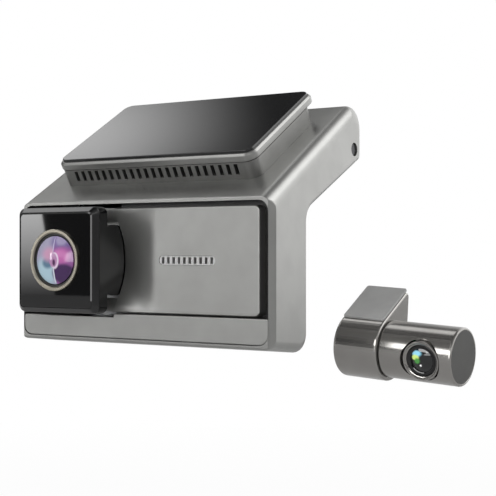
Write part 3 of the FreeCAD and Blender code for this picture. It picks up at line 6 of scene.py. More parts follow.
# %% Load the frame
import json
import math
import bmesh
import bpy
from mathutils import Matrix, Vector


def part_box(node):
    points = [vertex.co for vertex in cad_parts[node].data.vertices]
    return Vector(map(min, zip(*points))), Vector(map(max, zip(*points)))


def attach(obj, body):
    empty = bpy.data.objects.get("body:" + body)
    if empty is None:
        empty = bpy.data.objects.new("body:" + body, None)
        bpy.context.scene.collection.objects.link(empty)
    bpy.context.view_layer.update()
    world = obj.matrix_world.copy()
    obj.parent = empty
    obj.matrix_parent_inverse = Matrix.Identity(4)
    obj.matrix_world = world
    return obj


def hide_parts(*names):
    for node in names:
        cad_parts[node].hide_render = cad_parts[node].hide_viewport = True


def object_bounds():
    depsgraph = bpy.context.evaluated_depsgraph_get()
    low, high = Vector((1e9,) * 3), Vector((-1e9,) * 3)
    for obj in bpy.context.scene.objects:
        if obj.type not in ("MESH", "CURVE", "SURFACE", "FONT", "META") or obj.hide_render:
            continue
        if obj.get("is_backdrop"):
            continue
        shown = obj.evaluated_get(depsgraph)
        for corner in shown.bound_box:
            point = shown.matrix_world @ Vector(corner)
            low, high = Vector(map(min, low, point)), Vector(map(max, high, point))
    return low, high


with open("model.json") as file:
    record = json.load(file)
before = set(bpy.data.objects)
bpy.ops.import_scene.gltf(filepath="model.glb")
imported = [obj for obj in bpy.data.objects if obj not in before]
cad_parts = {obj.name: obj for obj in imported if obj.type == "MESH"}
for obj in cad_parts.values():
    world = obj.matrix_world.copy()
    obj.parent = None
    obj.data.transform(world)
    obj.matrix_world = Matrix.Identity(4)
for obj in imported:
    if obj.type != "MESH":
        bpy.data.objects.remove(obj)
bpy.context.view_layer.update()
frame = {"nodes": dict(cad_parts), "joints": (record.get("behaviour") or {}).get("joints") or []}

# %% [markdown]
# A product drawing has one zero from which everything is measured. Here it stands in the middle of the width,
# on the plane of the front rim, and as high as the lens axis: X runs right, Y runs back and Z runs up. Two
# boxes of the frame give that place, so nothing needs to be fitted by eye. Sizes are then written in
# millimetres, as on a drawing.

# %% The drawing's zero
MM = 0.001
shell_low, shell_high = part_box("housing_shell")
ring_low, ring_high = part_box("lens_ring")
ZERO = Vector(((shell_low[0] + shell_high[0]) / 2, shell_low[1], (ring_low[2] + ring_high[2]) / 2))
HALF_W = (shell_high[0] - shell_low[0]) / 2 / MM
GLASS_ANGLE = math.radians(30.8)
BROW_Z = 19.4


def spot(x, y, z):
    """A place on the drawing, in metres in the frame."""
    return ZERO + Vector((x, y, z)) * MM


ACROSS = Vector((1, 0, 0))
BACK = Vector((0, 1, 0))
UP = Vector((0, 0, 1))
UPHILL = Vector((0, math.cos(GLASS_ANGLE), math.sin(GLASS_ANGLE)))
OFF_SLOPE = Vector((0, -math.sin(GLASS_ANGLE), math.cos(GLASS_ANGLE)))
print("half width", round(HALF_W, 2), "zero", [round(v, 5) for v in ZERO])

# %% [markdown]
# Most of these mouldings are a stack of outlines: a rounded rectangle that is repeated along a direction, a
# little smaller near the ends so that the edges come out round. Building them as rows of the same number of
# points gives clean four-sided faces, which shade better than the triangles of a boolean.
# A place system, here three directions and a start, says where the stack stands.


# %% Outlines and stacks
TINY = 1e-4                             # millimetres, so that no side shrinks to nothing
RIM_STEPS = 4
SMALLEST_CORNER = 0.05


def rounded_rect(half_w, half_h, radius, arc=7, flat=8):
    """Points round a rectangle with round corners, spaced along its sides too."""
    radius = max(min(radius, half_w - TINY, half_h - TINY), TINY)
    points = []
    centres = ((1, 1), (-1, 1), (-1, -1), (1, -1))
    for i, (sx, sy) in enumerate(centres):
        cx = sx * (half_w - radius)
        cy = sy * (half_h - radius)
        corner = []
        for step in range(arc + 1):
            angle = math.pi / 2 * (i + step / arc)
            corner.append((cx + radius * math.cos(angle), cy + radius * math.sin(angle)))
        points.extend(corner)
        nx, ny = centres[(i + 1) % 4]
        start = corner[-1]
        turn = math.pi / 2 * (i + 1)
        end_x = nx * (half_w - radius) + radius * math.cos(turn)
        end_y = ny * (half_h - radius) + radius * math.sin(turn)
        for step in range(1, flat):
            k = step / flat
            points.append((start[0] + (end_x - start[0]) * k, start[1] + (end_y - start[1]) * k))
    return points


def rows_to_mesh(bm, rows, close_start=True, close_end=True):
    """Join rows of places with four-sided faces, and close the two ends."""
    made = [[bm.verts.new(place) for place in row] for row in rows]
    count = len(made[0])
    for a, b in zip(made, made[1:]):
        for i in range(count):
            j = (i + 1) % count
            bm.faces.new((a[i], a[j], b[j], b[i]))
    if close_start:
        bm.faces.new(list(reversed(made[0])))
    if close_end:
        bm.faces.new(made[-1])
    return made


def stack_rows(levels, start, u, v, n, centre=(0.0, 0.0), arc=7, flat=8):
    """Rows of a stack: each level is (distance along n, half width, half height, corner), in millimetres."""
    cx, cy = centre
    rows = []
    for distance, half_w, half_h, radius in levels:
        outline = rounded_rect(half_w, half_h, radius, arc, flat)
        rows.append([start + (u * (x + cx) + v * (y + cy) + n * distance) * MM for x, y in outline])
    return rows


def soft_levels(d0, d1, half_w, half_h, radius, edge, back_edge):
    """Levels of a plate from d0 to d1 whose two rims are rounded."""
    levels = []
    for rim, near, sign in ((edge, d0, 1), (back_edge, d1, -1)):
        part = []
        for step in range(RIM_STEPS + 1):
            angle = math.pi / 2 * step / RIM_STEPS
            inset = rim * (1 - math.sin(angle))
            part.append((near + sign * rim * (1 - math.cos(angle)), half_w - inset, half_h - inset,
                         max(radius - inset, SMALLEST_CORNER)))
        levels.extend(part if sign == 1 else reversed(part))
    return levels


# %% [markdown]
# Lens rings, pins and barrels are turned parts, so they are made as on a lathe: a profile of distances and
# radii that is spun about an axis.


# %% Turned parts
DOME_STEPS = 14
DOME_SPREAD = 0.8                       # below 1, the rings of a dome lie closer together near its rim
POLE_R = 0.02                           # the smallest ring, so that no ring shrinks to a point
NEARLY_ALONG = 0.9                      # cosine past which an axis counts as upright


def across_of(axis):
    """Two directions square to an axis."""
    helper = UP if abs(axis.dot(UP)) < NEARLY_ALONG else BACK
    u = axis.cross(helper).normalized()
    return u, axis.cross(u).normalized()


def turned_rows(profile, start, axis, count=96):
    """Rows of a turned part: each entry is (distance along the axis, radius), in millimetres."""
    u, v = across_of(axis)
    rows = []
    for distance, radius in profile:
        ring = []
        for i in range(count):
            angle = 2 * math.pi * i / count
            reach = u * radius * math.cos(angle) + v * radius * math.sin(angle)
            ring.append(start + (axis * distance + reach) * MM)
        rows.append(ring)
    return rows


def dome_profile(radius, rise, back):
    """A lens element: its round front rises towards negative distances, and its back is flat."""
    ball = (radius ** 2 + rise ** 2) / (2 * rise)
    profile = []
    for step in range(DOME_STEPS + 1):
        r = radius * (step / DOME_STEPS) ** DOME_SPREAD
        profile.append((-rise + ball - math.sqrt(max(ball ** 2 - r ** 2, 0)), max(r, POLE_R)))
    profile.append((back, radius))
    profile.append((back, POLE_R))
    return profile


# %% [markdown]
# Every piece ends in the same way: its faces are turned outwards, it is shaded smooth except over sharp
# edges, it gets its material, and it is tied to the body that it moves with. A thin rounded edge catches the
# light on a real moulding, so a small bevel goes on what booleans leave sharp. A modifier that weights the
# normals by the size of the faces keeps the large flats flat beside such narrow bevels.


# %% Finish a piece
SHARP_ANGLE = 32                        # degrees; a steeper edge is shaded sharp
WELD_DISTANCE = 1e-6
BEVEL_SEGMENTS = 3


def finish_piece(name, bm, body, material, nodes=(), smooth=SHARP_ANGLE, weld=False):
    """Turn a mesh in progress into a named piece that rides on a body."""
    if weld:
        bmesh.ops.remove_doubles(bm, verts=bm.verts, dist=WELD_DISTANCE)
    bmesh.ops.recalc_face_normals(bm, faces=bm.faces)
    mesh = bpy.data.meshes.new(name)
    bm.to_mesh(mesh)
    bm.free()
    piece = bpy.data.objects.new(name, mesh)
    bpy.context.scene.collection.objects.link(piece)
    mesh.materials.append(material)
    mesh.shade_smooth()
    mesh.set_sharp_from_angle(angle=math.radians(smooth))
    even = piece.modifiers.new("even", "WEIGHTED_NORMAL")
    even.keep_sharp = True
    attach(piece, body)
    if nodes:
        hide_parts(*nodes)
    return piece


def cut_away(piece, cutters, operation="DIFFERENCE"):
    """Cut closed meshes out of a piece, or keep what they share, as its mesh."""
    for cutter in cutters:
        mod = piece.modifiers.new("cut", "BOOLEAN")
        mod.operation = operation
        mod.solver = "EXACT"
        mod.object = cutter
    bpy.context.view_layer.update()
    graph = bpy.context.evaluated_depsgraph_get()
    mesh = bpy.data.meshes.new_from_object(piece.evaluated_get(graph))
    old = piece.data
    piece.modifiers.clear()
    piece.data = mesh
    mesh.name = old.name
    bpy.data.meshes.remove(old)
    for cutter in cutters:
        data = cutter.data
        bpy.data.objects.remove(cutter)
        bpy.data.meshes.remove(data)


def cutter_from(rows):
    """A closed mesh object to cut with."""
    bm = bmesh.new()
    rows_to_mesh(bm, rows)
    bmesh.ops.recalc_face_normals(bm, faces=bm.faces)
    mesh = bpy.data.meshes.new("cutter")
    bm.to_mesh(mesh)
    bm.free()
    cutter = bpy.data.objects.new("cutter", mesh)
    bpy.context.scene.collection.objects.link(cutter)
    return cutter


def add_edge_bevel(piece, width):
    """Round the sharp edges of a cut piece."""
    piece.data.shade_smooth()
    piece.data.set_sharp_from_angle(angle=math.radians(SHARP_ANGLE))
    mod = piece.modifiers.new("edge", "BEVEL")
    mod.width = width * MM
    mod.segments = BEVEL_SEGMENTS
    mod.limit_method = "ANGLE"
    mod.angle_limit = math.radians(SHARP_ANGLE)
    mod.harden_normals = True
    mod.miter_outer = "MITER_ARC"
    even = piece.modifiers.new("even", "WEIGHTED_NORMAL")
    even.keep_sharp = True


# %% [markdown]
# Colours are written as on a paint card, in sRGB hex, and one function turns them into the linear values that
# the renderer works in. One more function adds a shader node with its settings and links, so that each
# material reads as a short recipe.


# %% Colour and node helpers
FINE_DETAIL = 3.0
WIDE_DETAIL = 2.0
BUMP_STRENGTH = 0.6
GLOSS_DRIFT_MM = 14
TONE_MARKS = (0.35, 0.65)


def linear(code):
    """A hex colour as linear red, green and blue, with full alpha."""
    values = []
    for i in (0, 2, 4):
        c = int(code[i:i + 2], 16) / 255
        values.append(c / 12.92 if c <= 0.04045 else ((c + 0.055) / 1.055) ** 2.4)
    return (*values, 1.0)


def add_node(tree, kind, settings=None, inputs=None):
    """Add a node; an input may be a value or another node's output socket."""
    node = tree.nodes.new(kind)
    for key, value in (settings or {}).items():
        setattr(node, key, value)
    for key, value in (inputs or {}).items():
        if isinstance(value, bpy.types.NodeSocket):
            tree.links.new(value, node.inputs[key])
        else:
            node.inputs[key].default_value = value
    return node


def new_material(name, **shader):
    """A material with a Principled shader whose fixed values are set on its own sockets."""
    material = bpy.data.materials.new(name)
    material.use_nodes = True
    tree = material.node_tree
    main = tree.nodes["Principled BSDF"]
    for key, value in shader.items():
        main.inputs[key.replace("_", " ")].default_value = value
    return material, tree, main


def grain(tree, main, size_mm, height_mm, rough, spread):
    """Fine relief and uneven gloss, with a grain of this size. It gives back the place node."""
    place = add_node(tree, "ShaderNodeTexCoord")
    noise = add_node(tree, "ShaderNodeTexNoise", {}, {"Vector": place.outputs["Object"],
                                                      "Scale": 1 / (size_mm * MM), "Detail": FINE_DETAIL})
    bump = add_node(tree, "ShaderNodeBump", {}, {"Height": noise.outputs["Fac"], "Strength": BUMP_STRENGTH,
                                                 "Distance": height_mm * MM})
    tree.links.new(bump.outputs["Normal"], main.inputs["Normal"])
    wide = add_node(tree, "ShaderNodeTexNoise", {}, {"Vector": place.outputs["Object"],
                                                     "Scale": 1 / (GLOSS_DRIFT_MM * MM),
                                                     "Detail": WIDE_DETAIL})
    span = add_node(tree, "ShaderNodeMapRange", {}, {"Value": wide.outputs["Fac"], "To Min": rough - spread,
                                                     "To Max": rough + spread})
    tree.links.new(span.outputs["Result"], main.inputs["Roughness"])
    return place


def two_tone(tree, main, place, low, high, size_mm):
    """Let the base colour drift a little between two close colours."""
    noise = add_node(tree, "ShaderNodeTexNoise", {}, {"Vector": place.outputs["Object"],
                                                      "Scale": 1 / (size_mm * MM), "Detail": WIDE_DETAIL})
    ramp = add_node(tree, "ShaderNodeValToRGB", {}, {"Fac": noise.outputs["Fac"]})
    for mark, code, share in zip(ramp.color_ramp.elements, (low, high), TONE_MARKS):
        mark.color = linear(code)
        mark.position = share
    tree.links.new(ramp.outputs["Color"], main.inputs["Base Color"])


# %% [markdown]
# The housing is moulded ABS with a satin metallic paint. The aluminium flake in such a paint mirrors the room
# without a sharp image, so the paint is mostly metallic, with a middle roughness. The mount and the grille
# are painted too, in darker and paler tones. The flake itself is about 0.03 mm and would not show, so its
# grain is drawn at 0.12 mm. The surround of the screen and the pod are bare black plastic.


# %% Paints and plastics
ABS_IOR = 1.53
PAINT_IOR = 1.5
FLAKE_MM = 0.12
FLAKE_RELIEF_MM = 0.004
COAT_ROUGHNESS = 0.12
RIPPLE_MM = 6.0
RIPPLE_RELIEF_MM = 0.002


def painted_plastic(name, low, high, metallic, rough, coat=0.0):
    """Metallic paint on a moulding."""
    material, tree, main = new_material(name, Metallic=metallic, IOR=PAINT_IOR)
    main.inputs["Coat Weight"].default_value = coat
    main.inputs["Coat Roughness"].default_value = COAT_ROUGHNESS
    place = grain(tree, main, FLAKE_MM, FLAKE_RELIEF_MM, rough, spread=0.03)
    two_tone(tree, main, place, low, high, size_mm=9.0)
    return material


def moulded_plastic(name, low, high, rough, size_mm=0.25, height_mm=0.006):
    """Plain moulded plastic with a fine spark-eroded grain."""
    material, tree, main = new_material(name, Metallic=0.0, IOR=ABS_IOR)
    place = grain(tree, main, size_mm, height_mm, rough, spread=0.04)
    two_tone(tree, main, place, low, high, size_mm=6.0)
    return material


def polished_plastic(name, low, high, rough):
    """Piano-black plastic: polished moulding with a faint ripple from the mould."""
    material, tree, main = new_material(name, Metallic=0.0, IOR=ABS_IOR)
    place = grain(tree, main, RIPPLE_MM, RIPPLE_RELIEF_MM, rough, spread=0.01)
    two_tone(tree, main, place, low, high, size_mm=20.0)
    return material


satin_paint = painted_plastic("satin_metallic_paint_on_abs", "8f8f8d", "949492", 0.8, 0.33)
panel_paint = painted_plastic("satin_metallic_paint_on_panel", "939391", "989896", 0.8, 0.36)
# Painted shade: a dark colour for the flange behind the groove, standing in for the shadow in the groove.
painted_groove_shade = painted_plastic("painted_shade_in_the_groove", "2b2b2b", "303030", 0.3, 0.4)
rear_paint = painted_plastic("gloss_gunmetal_paint_on_abs", "8a8885", "8f8d8a", 0.85, 0.2, coat=0.2)
cap_paint = painted_plastic("matte_gunmetal_paint_on_abs", "3d3d3c", "424240", 0.3, 0.5)
tray_paint = painted_plastic("dark_metallic_paint_on_tray", "868684", "8b8b89", 0.8, 0.3)
riser_paint = painted_plastic("dark_metallic_paint_on_riser", "737371", "797977", 0.75, 0.34)
bezel_plastic = moulded_plastic("black_satin_abs", "1f1f20", "242425", 0.35)
black_plastic = moulded_plastic("black_moulded_abs", "141414", "191919", 0.42)
piano_black = polished_plastic("polished_black_abs", "0b0b0c", "0e0e0f", 0.12)
pod_black = polished_plastic("polished_black_pod_abs", "101011", "131314", 0.16)
print("paints", satin_paint.name, rear_paint.name)

# %% [markdown]
# The lens ring is anodised aluminium in a champagne tint, and the metals keep the shader's own IOR. The glass
# plate over the pod is tempered glass printed black on its back, which is why it looks like a black mirror:
# it is a black body with the reflection of glass, and its polish has no relief. A multi-coated lens shows a
# few coloured glints, one from each coated face behind the front. Modelling every element would be true but
# slow and noisy, so each glint is painted into the lens's base colour as a painted reflection: a soft oval
# patch of colour, placed from the middle of the lens. The pale ground of the front lens is painted reflection
# too.


# %% Metals and glass
METAL_GRAIN_MM = 0.4
METAL_RELIEF_MM = 0.002
GLASS_IOR = 1.52
LENS_IOR = 1.6
LENS_ROUGHNESS = 0.05


def turned_metal(name, low, high, rough):
    """Bare or anodised metal with a very fine turned grain."""
    material, tree, main = new_material(name, Metallic=1.0)
    place = grain(tree, main, METAL_GRAIN_MM, METAL_RELIEF_MM, rough, spread=0.03)
    two_tone(tree, main, place, low, high, size_mm=5.0)
    return material


def printed_glass(name, low, high, rough):
    """Glass printed black on its back: a perfect polish, so only the print drifts."""
    material, tree, main = new_material(name, Metallic=0.0, Roughness=rough, IOR=GLASS_IOR)
    place = add_node(tree, "ShaderNodeTexCoord")
    two_tone(tree, main, place, low, high, size_mm=16.0)
    return material


def lens_place(tree, centre, radius):
    """The place on a lens seen from the front, from -1 to 1 across it and up it."""
    place = add_node(tree, "ShaderNodeTexCoord")
    moved = add_node(tree, "ShaderNodeVectorMath", {"operation": "SUBTRACT"}, {0: place.outputs["Object"],
                                                                              1: centre})
    scale = 1 / (radius * MM)
    scaled = add_node(tree, "ShaderNodeVectorMath", {"operation": "MULTIPLY"},
                      {0: moved.outputs["Vector"], 1: (scale, 0, scale)})
    return scaled.outputs["Vector"]


def patch_share(tree, place, across, up, half_w, half_h, soft):
    """How much of a soft oval patch covers a place: 1 inside it and 0 outside."""
    moved = add_node(tree, "ShaderNodeVectorMath", {"operation": "SUBTRACT"}, {0: place, 1: (across, 0, up)})
    scaled = add_node(tree, "ShaderNodeVectorMath", {"operation": "MULTIPLY"},
                      {0: moved.outputs["Vector"], 1: (1 / half_w, 0, 1 / half_h)})
    reach = add_node(tree, "ShaderNodeVectorMath", {"operation": "LENGTH"}, {0: scaled.outputs["Vector"]})
    share = add_node(tree, "ShaderNodeMapRange", {"interpolation_type": "SMOOTHSTEP"},
                     {"Value": reach.outputs["Value"], "From Min": 1 + soft, "From Max": 1 - soft})
    return share.outputs["Result"]


def lens_with_painted_reflections(name, centre, radius, ground, patches):
    """A lens with painted reflections: the mirror colours of its coated elements, painted into its base
    colour, each an oval patch over a ground.
    """
    material, tree, main = new_material(name, Metallic=0.0, Roughness=LENS_ROUGHNESS, IOR=LENS_IOR)
    place = lens_place(tree, centre, radius)
    noise = add_node(tree, "ShaderNodeTexNoise", {}, {"Vector": place, "Scale": 2.0, "Detail": 1.0})
    ramp = add_node(tree, "ShaderNodeValToRGB", {}, {"Fac": noise.outputs["Fac"]})
    for mark, code in zip(ramp.color_ramp.elements, ground):
        mark.color = linear(code)
    colour = ramp.outputs["Color"]
    for across, up, half_w, half_h, soft, code in patches:
        share = patch_share(tree, place, across, up, half_w, half_h, soft)
        mix = add_node(tree, "ShaderNodeMix", {"data_type": "RGBA"}, {"Factor": share})
        tree.links.new(colour, mix.inputs["A"])
        mix.inputs["B"].default_value = linear(code)
        colour = mix.outputs["Result"]
    tree.links.new(colour, main.inputs["Base Color"])
    return material


# Each painted reflection: across, up, half width, half height, softness and colour, with the lens's radius as
# 1.
FRONT_PAINTED_REFLECTIONS = (
    (-0.45, -0.50, 0.60, 0.55, 0.5, "a9c6d4"),
    (-0.26, -0.12, 0.30, 0.22, 0.4, "587892"),
    (-0.15, 0.24, 0.38, 0.28, 0.6, "c996b6"),
    (1.63, 0.0, 1.58, 3.0, 0.01, "95569a"),
    (0.45, 0.80, 0.55, 0.35, 0.5, "75639a"),
    (0.45, 0.18, 0.36, 0.32, 0.5, "c264ac"),
    (0.55, -0.58, 0.56, 0.42, 0.2, "3a1150"),
    (0.12, -0.02, 0.22, 0.34, 0.12, "e6d2e8"),
    (0.06, 0.00, 0.21, 0.29, 0.12, "b485b0"),
    (0.10, -0.10, 0.07, 0.13, 0.4, "4d2350"),
    (0.06, -0.62, 0.03, 0.36, 0.3, "dfe4ee"),
    (0.04, 0.62, 0.02, 0.36, 0.3, "c9bfe0"),
)
# Painted reflections on the rear lens: coloured glints and one white painted highlight.
REAR_PAINTED_REFLECTIONS = (
    (-0.40, 0.52, 0.42, 0.24, 0.4, "8fd0e8"),
    (-0.52, 0.20, 0.34, 0.22, 0.3, "c6e07c"),
    (-0.36, -0.08, 0.24, 0.22, 0.5, "3f8a3a"),
    (-0.06, -0.46, 0.09, 0.08, 0.4, "ffffff"),
)
POD_X = -27.3
LENS_R = 7.8
REAR_LENS_R = 4.4
rear_lens_low, rear_lens_high = (Vector(corner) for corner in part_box("rear_lens_glass"))
champagne_metal = turned_metal("champagne_anodised_aluminium", "8f8a7e", "969185", 0.3)
bright_metal = turned_metal("bright_turned_aluminium", "c4c4c2", "cccccb", 0.2)
dark_steel = turned_metal("blackened_steel", "3a3a3c", "424244", 0.35)
steel = turned_metal("zinc_plated_steel", "a9aaac", "b2b3b5", 0.3)
pod_glass = printed_glass("black_printed_glass", "050506", "070708", 0.02)
plate_gloss = printed_glass("gloss_black_plate", "0c0c0d", "0f0f10", 0.1)
# The front lens's pale ground and its patches are painted reflections and a painted highlight, not the colour
# of the glass.
lens_painted_reflections = lens_with_painted_reflections("lens_glass_with_painted_reflections", spot(POD_X, 0, 0), LENS_R, ("9c97b4", "aaa6be"), FRONT_PAINTED_REFLECTIONS)
# The rear lens's coloured glints are painted reflections too.
rear_lens_painted_reflections = lens_with_painted_reflections("rear_lens_glass_with_painted_reflections", (rear_lens_low + rear_lens_high) / 2, REAR_LENS_R,
                             ("08090a", "0d0f10"), REAR_PAINTED_REFLECTIONS)
print("metals and glass", champagne_metal.name, pod_glass.name)

# %% [markdown]
# A few more finishes are needed: adhesive film, the rubber of the keys, the grille's pale paint, and what
# lies inside, such as the green solder mask of the boards, the ceramic antenna and the sleeves of the storage
# cells. They are simple, but each still has a pattern of its own size.

# %% Other finishes
TRACK_PITCH_MM = 3.2
TRACK_MARKS = (0.42, 0.5)
MASK_GREENS = ("143d26", "1b5233")


def board_mask(name):
    """Green solder mask with the shadow of straight tracks under it."""
    material, tree, main = new_material(name, Metallic=0.0, IOR=PAINT_IOR)
    place = grain(tree, main, size_mm=1.2, height_mm=0.01, rough=0.35, spread=0.04)
    tracks = add_node(tree, "ShaderNodeTexWave", {"wave_type": "BANDS", "bands_direction": "X"},
                      {"Vector": place.outputs["Object"], "Scale": 1 / (TRACK_PITCH_MM * MM),
                       "Distortion": 0.0})
    ramp = add_node(tree, "ShaderNodeValToRGB", {}, {"Fac": tracks.outputs["Fac"]})
    for mark, code, share in zip(ramp.color_ramp.elements, MASK_GREENS, TRACK_MARKS):
        mark.color = linear(code)
        mark.position = share
    tree.links.new(ramp.outputs["Color"], main.inputs["Base Color"])
    return material


pad_film = moulded_plastic("grey_adhesive_film", "8b8b8a", "90908f", 0.5, 0.4, 0.004)
rubber = moulded_plastic("black_rubber", "1b1b1b", "202020", 0.6, 0.3, 0.008)
grille_paint = painted_plastic("silver_paint_on_grille", "b4b4b2", "bababa", 0.5, 0.35)
ceramic = moulded_plastic("antenna_ceramic", "9c9384", "a59c8c", 0.6, 0.5, 0.01)
sleeve = moulded_plastic("cell_sleeve_pvc", "1d2c63", "22326c", 0.25, 3.0, 0.004)
board_green = board_mask("green_solder_mask")
display_black = printed_glass("display_glass", "08090b", "0a0b0e", 0.06)
print("other finishes", pad_film.name, board_green.name)

# %% [markdown]
# The housing is one moulding: a slab with an arm that rises along the windscreen. Its side outline is a
# closed line of six corners. Slices of that outline stand across the unit. Near each flank the slices shrink
# a little, each side of the outline by its own radius, and that gives the broad soft edge along the top and
# the tighter ones elsewhere. One bevel modifier has one width, so it couldn't give each edge its own radius.


# %% Outline of the housing
SLAB_DEPTH = 21.4
ARM_REACH = 60.0
FRONT_BOTTOM_Z = -26.6
REAR_BOTTOM_Z = -29.0
ARM_ROOT_Z = 15.5
ARM_TOP_Z = BROW_Z + ARM_REACH * math.tan(GLASS_ANGLE)
ARM_END_HIGH = 20.57
ARM_END_Z = ARM_TOP_Z - ARM_END_HIGH
WALL = 1.6
CORNERS = ((0, FRONT_BOTTOM_Z), (SLAB_DEPTH, REAR_BOTTOM_Z), (SLAB_DEPTH, ARM_ROOT_Z), (ARM_REACH, ARM_END_Z),
           (ARM_REACH, ARM_TOP_Z), (0, BROW_Z))
CORNER_RADII = (0.8, 4.0, 7.0, 2.0, 4.0, 0.6)
EDGE_RADII = (3.0, 1.2, 1.6, 2.4, 4.5, 0.0)
RIM_WIDE = 1.6
RIM_DEEP = 2.2
FLANK_STEPS = (0.0, 0.08, 0.2, 0.4, 0.65, 0.95, 1.3, 1.7, 2.2, 2.8, 3.6, 4.5)
FLANK_DEEP = FLANK_STEPS[-1]
MIDDLE_SLICES = 24
LEAST_RADIUS = 0.02


def offset_corners(corners, insets):
    """Corners of a closed outline whose edges are moved in, edge i running from corner i to the next."""
    count = len(corners)
    lines = []
    for i in range(count):
        (y0, z0), (y1, z1) = corners[i], corners[(i + 1) % count]
        length = math.hypot(y1 - y0, z1 - z0)
        dy, dz = (y1 - y0) / length, (z1 - z0) / length
        lines.append(((y0 - dz * insets[i], z0 + dy * insets[i]), (dy, dz)))
    moved = []
    for i in range(count):
        (py, pz), (ay, az) = lines[i - 1]
        (qy, qz), (by, bz) = lines[i]
        cross = ay * bz - az * by
        k = ((qy - py) * bz - (qz - pz) * by) / cross
        moved.append((py + ay * k, pz + az * k))
    return moved


def round_corners(corners, radii, arc=8, flat=10):
    """Points round a closed outline with its corners rounded."""
    count = len(corners)
    arcs = []
    for i, (y, z) in enumerate(corners):
        before, after = Vector(corners[i - 1]), Vector(corners[(i + 1) % count])
        here = Vector((y, z))
        a = (before - here).normalized()
        b = (after - here).normalized()
        half = a.angle(b) / 2
        radius = max(radii[i], LEAST_RADIUS)
        reach = radius / math.tan(half)
        centre = here + (a + b).normalized() * (radius / math.sin(half))
        start, end = here + a * reach - centre, here + b * reach - centre
        turn = start.angle_signed(end)
        points = []
        for step in range(arc + 1):
            angle = -turn * step / arc
            c, s = math.cos(angle), math.sin(angle)
            points.append(centre + Vector((start.x * c - start.y * s, start.x * s + start.y * c)))
        arcs.append(points)
    ring = []
    for i, points in enumerate(arcs):
        ring.extend(points)
        a, b = points[-1], arcs[(i + 1) % count][0]
        ring.extend(a.lerp(b, step / flat) for step in range(1, flat))
    return ring


def edge_inset(t, radius):
    """How far a rounded edge has come in, at a depth t from the flank."""
    if t >= radius:
        return 0.0
    return radius - math.sqrt(radius ** 2 - (radius - t) ** 2)


def housing_slice(x, t):
    """One slice of the housing at x, a depth t in from its flank."""
    insets = [edge_inset(t, radius) for radius in EDGE_RADII[:-1]]
    insets.append(RIM_DEEP * max(1 - t / RIM_WIDE, 0))
    corners = offset_corners(CORNERS, insets)
    return [spot(x, p.x, p.y) for p in round_corners(corners, CORNER_RADII)]


def housing_rows():
    """All the slices, from the left flank to the right."""
    rows = [housing_slice(t - HALF_W, t) for t in FLANK_STEPS]
    width = 2 * HALF_W - 2 * FLANK_DEEP
    for i in range(1, MIDDLE_SLICES):
        rows.append(housing_slice(-HALF_W + FLANK_DEEP + width * i / MIDDLE_SLICES, FLANK_DEEP))
    rows.extend(housing_slice(HALF_W - t, t) for t in reversed(FLANK_STEPS))
    return rows


print("points in one slice", len(housing_slice(0, FLANK_DEEP)))


# %% [markdown]
# The shell is cut open where the real one is: a front opening for the panel and the pod, a window for the
# screen's surround, a recess for the cover under the arm, two screw holes and three inlets in the left flank.
# The wall stays 1.6 mm thick behind them, as in the construction. All of them are cut in one go with closed
# blocks, and only then does a narrow bevel round the edges that the cuts left sharp.


# %% The housing shell
OPENING_HALF_W = HALF_W - WALL
OPENING_TOP = 18.3
OPENING_BOTTOM = -25.4
REAR_END_FILL = 9.0
CAVITY_RADII = (0.5, 2.4, 8.6, 0.5, 0.5, 0.5)
FLANK_CUT = (-HALF_W - 1, -HALF_W + 3.2)
# Each cut-out: left, right, low, high, its corners' radius, and where it starts and ends in depth.
FRONT_OPENING = (-OPENING_HALF_W, OPENING_HALF_W, OPENING_BOTTOM, OPENING_TOP, 3.4, -3.0, 6.1)
SCREEN_WINDOW = (-46.6, 46.6, -24.9, 10.5, 3.0, 18.2, 24.0)
COVER_RECESS = (-44.1, 44.1, 7.9, 38.1, 0.3, -1.0, 3.2)
USB_INLET = (33.0, 42.0, -7.9, -4.7, 0.8, *FLANK_CUT)
CARD_SLOT = (44.9, 56.5, -7.6, -6.4, 0.2, *FLANK_CUT)
JACK_AT = (27.0, -6.5)                  # along the slope and off it
JACK_PROFILE = ((-1.0, 1.4), (4.8, 1.4))
SCREW_AT = (54.2, 37.1)
SCREW_PROFILE = ((0.0, 2.25), (2.6, 2.25))
EDGE_BEVEL = 0.18


def prism_rows(corners, radii, place, near, far):
    """Two rows of an outline that is pulled along the place function's third number."""
    outline = round_corners(corners, radii)
    return [[place(p.x, p.y, d) for p in outline] for d in (near, far)]


def box_corners(left, right, low, high):
    """Corners of an upright box outline, in turn."""
    return ((left, low), (right, low), (right, high), (left, high))


def facing_front(x, z, y):
    """A place from an outline drawn as seen from the front."""
    return spot(x, y, z)


def facing_side(y, z, x):
    """A place from an outline drawn as seen from the right flank."""
    return spot(x, y, z)


def on_slope(x, s, h):
    """A place x across, s up the slope and h off it."""
    return spot(0, 0, BROW_Z) + (ACROSS * x + UPHILL * s + OFF_SLOPE * h) * MM


def on_flank(s, h, x):
    """A place from an outline drawn on a flank, along the slope and off it."""
    return on_slope(x, s, h)


def under_arm(x, s, depth):
    """A place on the arm's underside: s from its root, and this deep inside."""
    run = Vector((0, ARM_REACH - SLAB_DEPTH, ARM_END_Z - ARM_ROOT_Z)).normalized()
    inward = Vector((0, -run.z, run.y))
    return spot(x, SLAB_DEPTH, ARM_ROOT_Z) + (run * s + inward * depth) * MM


def window_cutter(window, place):
    """A closed block that cuts a window with round corners."""
    left, right, low, high, radius, near, far = window
    return cutter_from(prism_rows(box_corners(left, right, low, high), (radius,) * 4, place, near, far))


